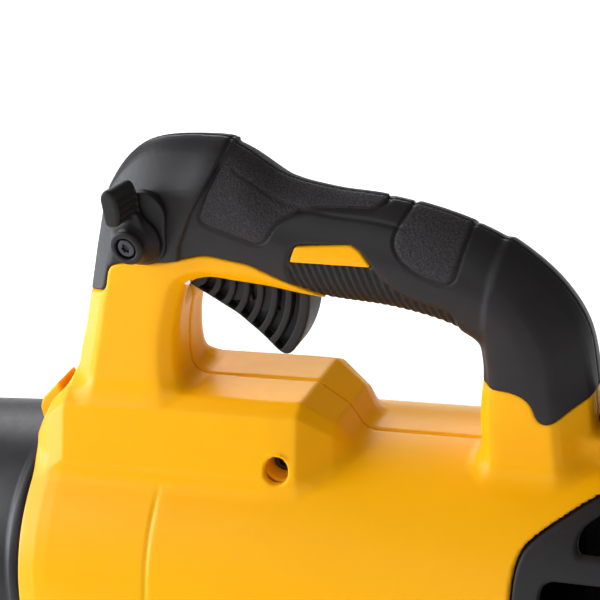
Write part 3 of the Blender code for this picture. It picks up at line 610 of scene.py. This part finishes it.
def make_materials():
    return {
        "yellow_plastic": moulded("yellow_plastic", YELLOW, 0.36, mottle=0.015, gloss=0.14),
        "black_grip": soft_touch("black_grip", BLACK, 0.44),
        "black_plastic": moulded("black_plastic", BLACK, 0.46, grain=1500.0, depth=0.00006, mottle=0.12),
        "tube_plastic": moulded("tube_plastic", TUBE_BLACK, 0.40, depth=0.00003, mottle=0.10),
        "bright_steel": metal("bright_steel", (0.62, 0.62, 0.64), 0.28, stretch=(1.0, 12.0, 12.0)),
        "dark_steel": metal("dark_steel", (0.07, 0.07, 0.075), 0.38),
        "copper_winding": metal(
            "copper_winding", (0.78, 0.33, 0.16), 0.32, stretch=(1.0, 1.0, 14.0), depth=0.00005
        ),
        "cast_aluminium": metal("cast_aluminium", (0.68, 0.68, 0.70), 0.42, grain=500.0, depth=0.00004),
        "circuit_board": printed_board("circuit_board"),
        "rubber": moulded("rubber", (0.018, 0.018, 0.018), 0.78, grain=1200.0, depth=0.00006, mottle=0.15),
        "cell_wrap": moulded("cell_wrap", (0.02, 0.20, 0.17), 0.30, mottle=0.06),
    }


MATERIALS = make_materials()


def stands_for(obj, node, *others):
    """Gives a piece its node's body and material, and hides the node."""
    obj.data.materials.append(MATERIALS[SLOT_OF[node]])
    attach(obj, BODY_OF[node])
    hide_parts(node, *others)
    return obj


# ---- handle, housing and grips ----


def splined(values, steps):
    """Catmull-Rom curve through rows of numbers, steps to each span."""
    values = np.asarray(values, float)
    padded = np.vstack([2 * values[0] - values[1], values, 2 * values[-1] - values[-2]])
    found = []
    for i in range(len(values) - 1):
        a, b, c, d = padded[i : i + 4]
        slope, bend, twist = c - a, 2 * a - 5 * b + 4 * c - d, 3 * b - a - 3 * c + d
        for t in np.arange(steps) / steps:
            found.append(0.5 * (2 * b + slope * t + bend * t**2 + twist * t**3))
    return np.array(found + [values[-1]])


def ridge_reach(up, across, steps=40):
    """How far a direction runs from the middle to the curve up^1.9 + across^1.25 = 1."""
    low, high = 0.5, 1.5
    for _ in range(steps):
        middle = (low + high) / 2
        inside = max(middle * up, 0.0) ** 1.9 + (middle * across) ** 1.25 < 1
        low, high = (middle, high) if inside else (low, middle)
    return low


def handle_rings(sides=72, steps=6):
    """Rings along the handle, inset by its edge radius. up runs from the inner side to the outer."""
    angles = 2 * np.pi * np.arange(sides) / sides
    up, across = np.cos(angles), np.sin(angles)
    inner = (np.abs(up) ** 2.7 + np.abs(across) ** 2.7) ** (-1 / 2.7)
    # The outer half rises to a rounded ridge.
    peaked = np.array([ridge_reach(u, v) for u, v in zip(up, np.abs(across))])
    oval = np.where(up > 0, peaked, inner)
    # A box with wide chamfers to the outer side and narrow ones to the inner side.
    walls = ((1.0, 0.0, 1.0), (-1.0, 0.0, 1.0), (0.0, 1.0, 1.0), (0.80, 0.60, 1.00), (-0.74, 0.67, 1.27))
    boxy = 1 / np.max([(u * up + v * np.abs(across)) / reach for u, v, reach in walls], axis=0)
    rows = splined([(*outer, *inner, half, box) for outer, inner, half, box in HANDLE], steps)
    rings = []
    for outer_x, outer_z, inner_x, inner_z, half, box in rows:
        middle = np.array([outer_x + inner_x, 0.0, outer_z + inner_z]) / 2
        along = np.array([outer_x - inner_x, 0.0, outer_z - inner_z]) / 2
        reach = np.linalg.norm(along)
        along *= (reach - HANDLE_ROUND) / reach
        radial = oval + (boxy - oval) * box
        side = np.array([0.0, half - HANDLE_ROUND, 0.0])
        rings.append(middle + np.outer(radial * up, along) + np.outer(radial * across, side))
    return rings


def handle_field(g):
    return lofted(g, handle_rings()) - HANDLE_ROUND


# Sections of the fairing under the front pillar: X, the height of its top, and a share of its full width.
BUMP = (
    (-0.1265, 0.0790, 1.00),
    (-0.1190, 0.0890, 1.00),
    (-0.1100, 0.0955, 1.00),
    (-0.0600, 0.0960, 1.00),
    (-0.0120, 0.0958, 1.00),
    (-0.0005, 0.0958, 0.97),
    (0.0108, 0.0868, 0.80),
    (0.0165, 0.0745, 0.60),
    (0.0180, 0.0690, 0.54),
)
BUMP_ROUND = 0.003


def bump_field(g):
    """The fairing on top of the barrel, under the front pillar."""
    rings = []
    for x, top, width in BUMP:
        top -= BUMP_ROUND
        half = ((0.0175, top), (0.0225, top - 0.003), (0.033, top - 0.026 + BUMP_ROUND), (0.035, 0.045))
        ring = [(x, -y * width, z) for y, z in reversed(half)] + [(x, y * width, z) for y, z in half]
        rings.append(ring)
    return lofted(g, rings) - BUMP_ROUND


BARREL_PROFILE = (
    (FRONT_X, 0.0),
    (FRONT_X, 0.0708),
    (FRONT_X + 0.0008, 0.0718),
    (FRONT_X + 0.004, 0.0725),
    (FRONT_X + 0.010, 0.0737),
    (FRONT_X + 0.016, BARREL_R),
    (TONGUE_X, BARREL_R),
    (TONGUE_X, 0.0),
)
BORE_PROFILE = (
    (FRONT_X - 0.01, 0.0),
    (FRONT_X - 0.01, LIP_R + 0.001),
    (FRONT_X, LIP_R + 0.001),
    (FRONT_X + 0.002, LIP_R),
    (LIP_END_X, LIP_R),
    (LIP_END_X + 0.002, BORE_R),
    (TONGUE_X + 0.01, BORE_R),
    (TONGUE_X + 0.01, 0.0),
)


def housing_field(g):
    """The left half of the yellow clamshell, without its screw holes."""
    upper = join(turned(g, BARREL_PROFILE), bump_field(g), 0.005)
    upper = join(upper, handle_field(g), 0.009)
    upper = join(upper, prism(g, SPINE_OUTLINE, -0.010, 0.010, 0.003), 0.004)
    belly = prism(g, BELLY_OUTLINE, -0.036, 0.036, 0.006)
    foot = prism(g, FOOT_OUTLINE, -0.024, 0.024, 0.005)
    outer = join(upper, join(belly, foot), 0.008)
    # A shallow step runs round the barrel behind the blower's front, from the fairing down.
    groove_x, low_angle, high_angle = -0.0624, 30.0, 40.0
    angle = np.degrees(np.arctan2(np.abs(g.y), g.z))
    share = np.clip((angle - low_angle) / (high_angle - low_angle), 0.0, 1.0)
    outer = outer + share * (0.0007 * line_at(g.x - groove_x, 0.0009) + 0.00025 * (g.x < groove_x))
    hollow = join(turned(g, BORE_PROFILE), keep(outer + WALL, LIP_END_X - g.x))
    shell = cut(outer, hollow)
    shell = cut(shell, outline_distance(g.x, g.z, rounded(COVER_OUTLINE, COVER_ROUND)) - GAP, 0.0008)
    shell = cut(shell, outline_distance(g.x, g.z, rounded(GRIP_OUTLINE, GRIP_ROUND)) - GAP / 2, 0.0006)
    shell = cut(shell, block(g, *TRIGGER_SLOT), 0.0012)
    # The tube latch's notch and pocket.
    shell = cut(shell, block(g, (-0.140, -0.0078, 0.0665), (-0.1232, 0.0078, 0.100)), 0.0008)
    shell = cut(shell, block(g, (-0.124, -0.0060, 0.0735), (-0.1045, 0.0060, 0.0880)))
    return keep(shell, g.y + GAP / 2, 0.0008)


def make_housings():
    g = Grid((-0.134, -0.079, -0.112), (0.156, 0.003, 0.165), SHELL_STEP)
    shell = housing_field(g)
    left, right = shell, shell
    bore = turned(g, BORE_PROFILE)
    post_r, recess_r, pocket_r, hole_r, through = 0.0072, 0.0053, 0.0036, 0.0024, 0.2
    for x, z, depth, seat in SCREWS:
        # A post stands behind each head's recess on the left, and behind a narrower pocket on the right.
        post = cut(peg(g, x, z, post_r, -depth, -GAP / 2), bore)
        post = join(post, peg(g, x, z, post_r, -depth, -seat + 0.0012))
        hole = peg(g, x, z, hole_r, -through, through)
        left = cut(cut(join(left, post), peg(g, x, z, recess_r, -through, -seat), 0.0006), hole)
        right = cut(cut(join(right, post), peg(g, x, z, pocket_r, -through, -seat), 0.0006), hole)
    stands_for(solid(g, left, "housing_left_shell"), "housing_left")
    stands_for(solid(g, right, "housing_right_shell", mirrored=True), "housing_right")


def grip_relief(x, z):
    """How far the grip's sides stand proud of the handle's form, drawn in (X, Z)."""
    head = edge_distance(x, z, HEAD_EDGE)
    swell = np.exp(-((np.minimum(head, 0.0) / 0.009) ** 2))
    relief = 0.0019 * swell * (1 - smooth_step(head, -0.0004, 0.0010))
    hood = edge_distance(x, z, HOOD_EDGE)
    relief = relief + 0.0013 * smooth_step(hood, -0.0015, 0.0025)
    for panel in (FRONT_PANEL, REAR_PANEL):
        edge = outline_distance(x, z, rounded(panel, PANEL_ROUND))
        relief = relief + 0.00035 * (1 - smooth_step(edge, -0.0012, 0.0002))
        relief = relief - 0.0009 * line_at(edge, 0.0007)
    fingers = outline_distance(x, z, rounded(FINGER_PANEL, PANEL_ROUND))
    inside = 1 - smooth_step(fingers, -0.0012, 0.0)
    along = (x + 0.12 * z) / RIB_PITCH
    ribs = 0.5 + 0.5 * np.cos(2 * np.pi * along)
    return relief - 0.0006 * inside - 0.0012 * inside * (1 - ribs**0.6) - 0.0006 * line_at(fingers, 0.0007)


def make_grips():
    g = Grid((-0.112, -0.023, 0.088), (0.128, 0.002, 0.213), GRIP_STEP)
    form = handle_field(g)
    badge = outline_distance(g.x, g.z, rounded(BADGE_OUTLINE, BADGE_ROUND))
    outer = form - grip_relief(g.x, g.z)
    # A seam line sets the panels' sides off from the strip along the handle's top.
    seam = line_at(np.abs(g.y) - 0.0098, 0.0005)
    outer = outer + 0.00045 * (seam * (g.z > 0.172) * (g.x > -0.012) * (g.x < 0.086))
    shell = cut(outer, form + WALL)
    shell = cut(shell, keep(badge - GAP, g.y + 0.0140), 0.0004)
    shell = keep(shell, outline_distance(g.x, g.z, rounded(GRIP_OUTLINE, GRIP_ROUND)) + GAP / 2, 0.0008)
    shell = cut(shell, block(g, *TRIGGER_SLOT))
    shell = keep(shell, g.y + GAP / 2, 0.0006)
    shaft_hole = peg(g, LEVER_AXIS.x, LEVER_AXIS.z, 0.0044, -0.1, 0.1)
    left = solid(g, cut(shell, shaft_hole), "grip_left_moulding")
    right = solid(g, shell, "grip_right_moulding", mirrored=True)
    for obj, node in ((left, "grip_left"), (right, "grip_right")):
        points = np.empty(len(obj.data.vertices) * 3, np.float32)
        obj.data.vertices.foreach_get("co", points)
        x, _, z = (points.reshape(-1, 3) - STAND).T
        # Where the panels take their leathery grain and their painted glints.
        grain_and_glints = np.zeros(len(x), np.float32)
        for panel in (FRONT_PANEL, REAR_PANEL):
            edge = outline_distance(x, z, rounded(panel, PANEL_ROUND))
            grain_and_glints = np.maximum(grain_and_glints, 1 - smooth_step(edge, -0.0014, -0.0004))
        attribute = obj.data.attributes.new("panel", "FLOAT", "POINT")
        attribute.data.foreach_set("value", grain_and_glints.astype(np.float32))
        stands_for(obj, node)


def make_badges():
    g = Grid((0.005, -0.022, 0.155), (0.048, -0.010, 0.171), FINE_STEP)
    form = handle_field(g)
    inlay = keep(outline_distance(g.x, g.z, rounded(BADGE_OUTLINE, BADGE_ROUND)), form + 0.0001, 0.0006)
    inlay = keep(inlay, -(form + 0.0022))
    stands_for(solid(g, inlay, "grip_badge_left_inlay"), "grip_badge_left")
    stands_for(solid(g, inlay, "grip_badge_right_inlay", mirrored=True), "grip_badge_right")


# ---- rear cover ----


COVER_PROFILE = (
    (0.090, 0.0),
    (0.090, BARREL_R - 0.0004),
    (0.148, BARREL_R - 0.0004),
    (0.158, 0.0732),
    (0.167, 0.0695),
    (0.1735, 0.062),
    (0.176, 0.050),
    (0.176, 0.0),
)
COVER_HOLLOW = (
    (0.080, 0.0),
    (0.080, BORE_R),
    (0.148, BORE_R),
    (0.156, 0.0703),
    (0.1645, 0.0665),
    (0.1702, 0.060),
    (0.173, 0.049),
    (0.173, 0.0),
)
# The top side slot flares backwards.
FLARED_SLOT = (
    (0.1205, 0.0560),
    (0.1205, 0.0618),
    (0.1290, 0.0660),
    (0.1500, 0.0680),
    (0.1570, 0.0620),
    (0.1570, 0.0560),
)
# The other side slots are level, and all start where the border slants: their front end and middle height.
SIDE_SLOTS = ((0.1085, 0.0420), (0.1065, 0.0215), (0.1065, 0.0010), (0.1065, -0.0195))
# The slots of the rear wall: their middle height and half their length.
REAR_SLOTS = ((0.034, 0.022), (0.018, 0.034), (0.002, 0.038), (-0.014, 0.036), (-0.030, 0.030))


def level_slot(first, last, middle, half, radius):
    """The outline of a level slot with rounded ends."""
    low, high = middle - half, middle + half
    return rounded(((first, low), (first, high), (last, high), (last, low)), radius)


def make_cover():
    g = Grid((0.092, -0.077, -0.048), (0.180, 0.077, 0.079), GRIP_STEP * 1.2)
    cover = cut(turned(g, COVER_PROFILE), turned(g, COVER_HOLLOW))
    cover = keep(cover, outline_distance(g.x, g.z, rounded(COVER_OUTLINE, COVER_ROUND)) + GAP, 0.0016)
    cover = keep(cover, -0.045 - g.z, 0.0010)
    slots = [rounded(FLARED_SLOT, 0.0035)]
    slots += [level_slot(first_x, 0.160, middle, 0.0065, 0.0055) for first_x, middle in SIDE_SLOTS]
    for outline in slots:
        side = keep(outline_distance(g.x, g.z, outline), 0.030 - np.abs(g.y))
        cover = cut(cover, side, 0.0014)
    for middle, reach in REAR_SLOTS:
        outline = level_slot(-reach, reach, middle, 0.0045, 0.0042)
        cover = cut(cover, keep(outline_distance(g.y, g.z, outline), 0.165 - g.x), 0.0014)
    stands_for(solid(g, cover, "intake_cover_moulding"), "intake_cover")


def make_spine_cap():
    g = cad_grid("spine_cap", FINE_STEP)
    cap = softened(cad_field(g, "spine_cap"), 5)
    cap = cap + 0.0006 * line_at(g.z - 0.0905, 0.0006) * (np.abs(g.y) > 0.006)
    stands_for(solid(g, cap, "spine_cap_moulding"), "spine_cap")


# ---- trigger and speed lever ----


# The trigger's front edge and tip (X, Z), carried on past the arc that ends it.
TRIGGER_OUTLINE = (
    (-0.0475, 0.160),
    (-0.0468, 0.1440),
    (-0.0444, 0.1419),
    (-0.0375, 0.1374),
    (-0.0260, 0.1296),
    (-0.0168, 0.1203),
    (-0.0106, 0.1125),
    (-0.0078, 0.1112),
    (-0.0040, 0.1125),
    (0.060, 0.130),
    (0.060, 0.160),
)
TRIGGER_ARC_R = 0.0513
TRIGGER_SLOTS = 7


def make_trigger():
    g = Grid((-0.052, -0.0085, 0.108), (0.0130, 0.0085, 0.156), FINE_STEP)
    x, z = TRIGGER_PIVOT.x, TRIGGER_PIVOT.z
    radius = np.hypot(g.x - x, g.z - z)
    outline = outline_distance(g.x, g.z, rounded(TRIGGER_OUTLINE, 0.0022))
    outline = keep(outline, radius - TRIGGER_ARC_R, 0.0010)
    blade = keep(outline, slab(g.y, -0.007, 0.007), 0.0014)
    top = (z + 0.0005) - g.z - (g.x - x) * 0.035
    blade = keep(blade, -top - 0.0035, 0.0008)
    # Curved slots run round the pivot in both sides, inside a thin rim.
    for k in range(TRIGGER_SLOTS):
        ring = np.abs(radius - (0.0454 - 0.0062 * k)) - 0.0017
        slot = keep(keep(ring, outline + 0.0013, 0.0006), 0.0026 - np.abs(g.y))
        blade = cut(blade, slot, 0.0006)
    blade = join(blade, peg(g, x, z, 0.0052, -0.0066, 0.0066, 0.0006), 0.001)
    blade = cut(blade, peg(g, x, z, 0.0023, -0.02, 0.02))
    blade = cut(blade, block(g, (-0.030, -0.0020, 0.146), (0.0065, 0.0020, 0.160)))
    # A post under the switch plunger.
    blade = join(blade, block(g, (-0.016, -0.0050, 0.1300), (-0.008, 0.0050, 0.1495)))
    # A cup hides the foot of the return spring.
    blade = join(blade, block(g, (-0.0285, -0.0048, 0.1345), (-0.0185, 0.0048, 0.1495)))
    stands_for(solid(g, blade, "trigger_blade"), "trigger")


# Outlines of the lever's paddle and its neck, from the lever's axis (X, Z).
PADDLE_OUTLINE = (
    (-0.0015, 0.0108),
    (-0.0008, 0.0245),
    (0.0022, 0.0272),
    (0.0056, 0.0258),
    (0.0066, 0.0180),
    (0.0044, 0.0108),
)
NECK_OUTLINE = ((-0.0040, 0.0), (-0.0012, 0.0140), (0.0050, 0.0140), (0.0086, 0.0))


def make_lever_base():
    x, z = LEVER_AXIS.x, LEVER_AXIS.z
    g = cad_grid("lever_base", FINE_STEP)
    upper_disc = peg(g, x + 0.006, z + 0.011, 0.0090, -0.0208, -0.0165)
    base = join(peg(g, x, z, 0.0125, -0.0208, -0.0165), upper_disc, 0.006)
    base = keep(base, slab(g.y, -0.0208, -0.0165), 0.0010)
    base = cut(base, peg(g, x, z, 0.0044, -0.1, 0.1))
    stands_for(solid(g, base, "lever_base_plate"), "lever_base")


def make_lever():
    x, z = LEVER_AXIS.x, LEVER_AXIS.z
    g = cad_grid("speed_lever", FINE_STEP * 0.85, 0.006)
    around = np.hypot(g.x - x, g.z - z)
    depth = -g.y
    # The hub is a bell. Its skirt meets the base plate and its flat end holds the screw.
    bell = 0.0118 - 0.0044 * smooth_step(depth, 0.0205, 0.0285)
    hub = keep(0.9 * (around - bell), slab(depth, 0.0212, 0.0305), 0.0018)
    # The paddle leans forwards as it comes out from the handle.
    lean = 0.26 * (depth - 0.0212)
    across = outline_distance(g.x + lean - x, g.z - z, rounded(PADDLE_OUTLINE, 0.0026))
    bar = keep(across, slab(depth, 0.0212, 0.0335), 0.0016)
    neck = keep(outline_distance(g.x - x, g.z - z, NECK_OUTLINE), slab(depth, 0.0212, 0.0250), 0.0010)
    bar = join(bar, neck, 0.0012)
    # Thumb grooves run across the side of the paddle that the thumb pulls.
    grooves = 0.5 + 0.5 * np.cos(2 * np.pi * (g.z - z - 0.0135) / 0.0028)
    grooved = (g.x + lean > x + 0.0030) & (g.z > z + 0.0120) & (g.z < z + 0.0235)
    bar = bar + 0.0007 * grooves**2 * grooved * (depth > 0.0225) * (depth < 0.0322)
    lever = join(hub, bar, 0.0010)
    lever = join(lever, peg(g, x, z, 0.0040, -0.0250, -0.0100))
    lever = cut(lever, peg(g, x, z, 0.0046, -0.0400, -0.0278), 0.0006)
    lever = cut(lever, peg(g, x, z, 0.0017, -0.05, 0.05))
    stands_for(solid(g, lever, "speed_lever_moulding"), "speed_lever")


def make_lever_screw():
    x, z = LEVER_AXIS.x, LEVER_AXIS.z
    g = cad_grid("lever_screw", FINE_STEP * 0.6)
    around = np.hypot(g.x - x, g.z - z)
    depth = -g.y
    # A button head with a six-lobed socket, on a plain shank.
    head = keep(around - 0.0038, slab(depth, 0.0281, 0.0300), 0.0008)
    angle = np.arctan2(g.z - z, g.x - x)
    star = keep(around - (0.0017 + 0.0003 * np.cos(6 * angle)), 0.0286 - depth)
    head = cut(join(head, keep(around - 0.0014, slab(depth, 0.0040, 0.0290))), star, 0.0003)
    stands_for(solid(g, head, "lever_screw_head"), "lever_screw")


# ---- tube, nozzle and latch ----


def circle(x, across, up, sides=160):
    """An ellipse round the barrel axis at x."""
    angles = 2 * np.pi * np.arange(sides) / sides
    return np.stack([np.full(sides, x), across * np.cos(angles), up * np.sin(angles)], -1)


def tube_radius(x):
    """Outer radius of the air tube, which tapers towards its free end."""
    share = (x - TAPER_X) / (TUBE_END_X - TAPER_X)
    return TUBE_R - (TUBE_R - TUBE_END_R) * max(share, 0.0) ** 0.9


# The tube's neck, which plugs into the housing, and the bead round it in front of the housing (X, radius).
TUBE_NECK = (
    (-0.099, TUBE_R - 0.0008),
    (-0.0998, TUBE_R),
    (-0.1315, TUBE_R),
    (-0.1325, TUBE_R + 0.0009),
    (-0.1335, TUBE_R + 0.0012),
    (-0.1360, TUBE_R + 0.0012),
    (-0.1370, TUBE_R + 0.0009),
    (-0.138, TUBE_R),
)


def make_tube():
    places = np.linspace(TAPER_X, TUBE_END_X + 0.001, 60)
    outer = [*TUBE_NECK, *((x, tube_radius(x)) for x in places), (TUBE_END_X, TUBE_END_R - 0.0008)]
    inner_places = (TUBE_END_X, -0.42, -0.30, -0.20, TAPER_X, TUBE_NECK[0][0])
    inner = [(x, tube_radius(x) - TUBE_WALL) for x in inner_places]
    rings = [circle(x, radius, radius) for x, radius in outer + inner]
    stands_for(skin("air_tube_skin", rings), "air_tube")


def make_nozzle():
    """A round socket over the tube's end that flattens into a wide mouth."""
    far, near = NOZZLE_X
    fit = TUBE_END_R + 0.0022
    stations = (
        (near, fit, fit),
        (-0.566, fit - 0.0005, fit - 0.0005),
        (-0.610, 0.048, 0.040),
        (-0.650, 0.048, 0.031),
        (far, 0.050, 0.026),
    )
    steps = 14
    curve = splined(stations, steps)
    outside = [(x, across + 0.0022, up + 0.0022) for x, across, up in curve]
    hollow = [(x, across - 0.0004, up - 0.0004) for x, across, up in reversed(curve[steps + 1 :])]
    # The socket's shoulder, against the tube's end, and its mouth.
    hollow += [(TUBE_END_X - 0.0015, 0.0485, 0.0485), (TUBE_END_X - 0.001, fit, fit)]
    hollow.append((near - 0.0008, fit, fit))
    rings = [circle(*section) for section in outside + hollow]
    stands_for(skin("nozzle_tip_skin", rings), "nozzle_tip")


def make_softened():
    """Pieces whose CAD shape only needs its edges rounded."""
    for node, step, passes in (
        ("tube_latch", FINE_STEP, 4),
        ("battery_receiver", GRIP_STEP, 2),
        ("battery_release_button", FINE_STEP, 3),
        ("fuel_gauge_button", FINE_STEP * 0.6, 2),
        ("fuel_gauge_panel", FINE_STEP * 0.6, 1),
        ("front_foot", GRIP_STEP, 3),
        ("fan", GRIP_STEP, 1),
    ):
        g = cad_grid(node, step)
        stands_for(solid(g, softened(cad_field(g, node), passes), f"{node}_moulding"), node)


def make_battery():
    """The battery's case halves, with level grip lines along their sides."""
    for node, lowest, lines in (("battery_case_lower", -0.1065, 4), ("battery_case_upper", -0.0800, 2)):
        g = cad_grid(node, GRIP_STEP)
        case = softened(cad_field(g, node), 2)
        for k in range(lines):
            line = line_at(g.z - lowest - 0.0045 * k, 0.0007)
            case = case + 0.0005 * line * (np.abs(g.y) > 0.0345) * (g.x > 0.125) * (g.x < 0.190)
        stands_for(solid(g, case, f"{node}_moulding"), node)


# ---- carried-over nodes, camera and light ----


def dress_cad_nodes():
    """Every CAD node that still shows gets its slot's procedural material."""
    for node, obj in frame["nodes"].items():
        material = MATERIALS[SLOT_OF[node]]
        if not obj.data.materials:
            obj.data.materials.append(material)
        for slot in obj.material_slots:
            slot.material = material


# The camera looks at a point under the handle's middle, from the left, the rear and above, and leans.
LOOK_AT = Vector((0.0, 0.0, 0.1334)) + Vector(STAND)
AZIMUTH, ELEVATION, ROLL = (math.radians(value) for value in (30.7, 26.8, 12.3))
DISTANCE = 0.800
LENS = 120.0
SENSOR = 36.0


def make_camera():
    level = Vector((math.sin(AZIMUTH), -math.cos(AZIMUTH), 0.0))
    away = level * math.cos(ELEVATION) + Vector((0.0, 0.0, math.sin(ELEVATION)))
    right = Vector((math.cos(AZIMUTH), math.sin(AZIMUTH), 0.0))
    up = away.cross(right)
    leaning_right = right * math.cos(ROLL) - up * math.sin(ROLL)
    leaning_up = right * math.sin(ROLL) + up * math.cos(ROLL)
    camera = bpy.data.objects.new("camera", bpy.data.cameras.new("camera"))
    bpy.context.scene.collection.objects.link(camera)
    turn = Matrix((leaning_right, leaning_up, away)).transposed()
    camera.matrix_world = Matrix.Translation(LOOK_AT + away * DISTANCE) @ turn.to_4x4()
    camera.data.lens = LENS
    camera.data.sensor_width = SENSOR
    bpy.context.scene.camera = camera


def softbox(name, place, size, power, colour=(1.0, 1.0, 1.0)):
    """An area light that faces LOOK_AT. place is measured from there, in metres, and power is in watts."""
    light = bpy.data.lights.new(name, "AREA")
    light.shape = "RECTANGLE"
    light.size, light.size_y = size
    light.energy = power
    light.color = colour
    obj = bpy.data.objects.new(name, light)
    bpy.context.scene.collection.objects.link(obj)
    obj.location = LOOK_AT + Vector(place)
    obj.rotation_euler = (LOOK_AT - obj.location).to_track_quat("-Z", "Y").to_euler()


def make_floor():
    """A plain pale floor that shines faintly, as the photo's white ground does."""
    mesh = bpy.data.meshes.new("floor")
    reach = 6.0
    corners = [(-reach, -reach, 0), (reach, -reach, 0), (reach, reach, 0), (-reach, reach, 0)]
    mesh.from_pydata(corners, [], [(0, 1, 2, 3)])
    floor = bpy.data.objects.new("floor", mesh)
    bpy.context.scene.collection.objects.link(floor)
    material, _, shader = nodes_for("floor_paper")
    shader.inputs["Base Color"].default_value = (0.94, 0.94, 0.94, 1.0)
    shader.inputs["Roughness"].default_value = 0.9
    shader.inputs["Specular IOR Level"].default_value = 0.0
    shader.inputs["Emission Color"].default_value = (1.0, 1.0, 1.0, 1.0)
    shader.inputs["Emission Strength"].default_value = 0.30
    mesh.materials.append(material)


def make_lights():
    world = bpy.data.worlds.new("studio")
    world.use_nodes = True
    background = world.node_tree.nodes["Background"]
    background.inputs["Color"].default_value = (1.0, 1.0, 1.0, 1.0)
    background.inputs["Strength"].default_value = 0.20
    bpy.context.scene.world = world
    bpy.context.scene.view_settings.view_transform = "Standard"

    softbox("key_left", (-1.5, -0.45, 0.75), (1.2, 1.0), 27.0, (0.95, 0.97, 1.0))
    softbox("back_top", (-0.9, 1.55, 0.95), (1.7, 0.8), 27.0, (0.96, 0.97, 1.0))
    softbox("rim_left", (-1.6, -0.33, 0.10), (0.7, 0.45), 12.0, (0.80, 0.86, 1.0))
    softbox("fill_front", (-0.2, -1.9, 1.2), (1.4, 1.4), 12.0)


make_housings()
make_grips()
make_badges()
make_cover()
make_spine_cap()
make_trigger()
make_lever_base()
make_lever()
make_lever_screw()
make_tube()
make_nozzle()
make_softened()
make_battery()
dress_cad_nodes()
make_camera()
make_floor()
make_lights()
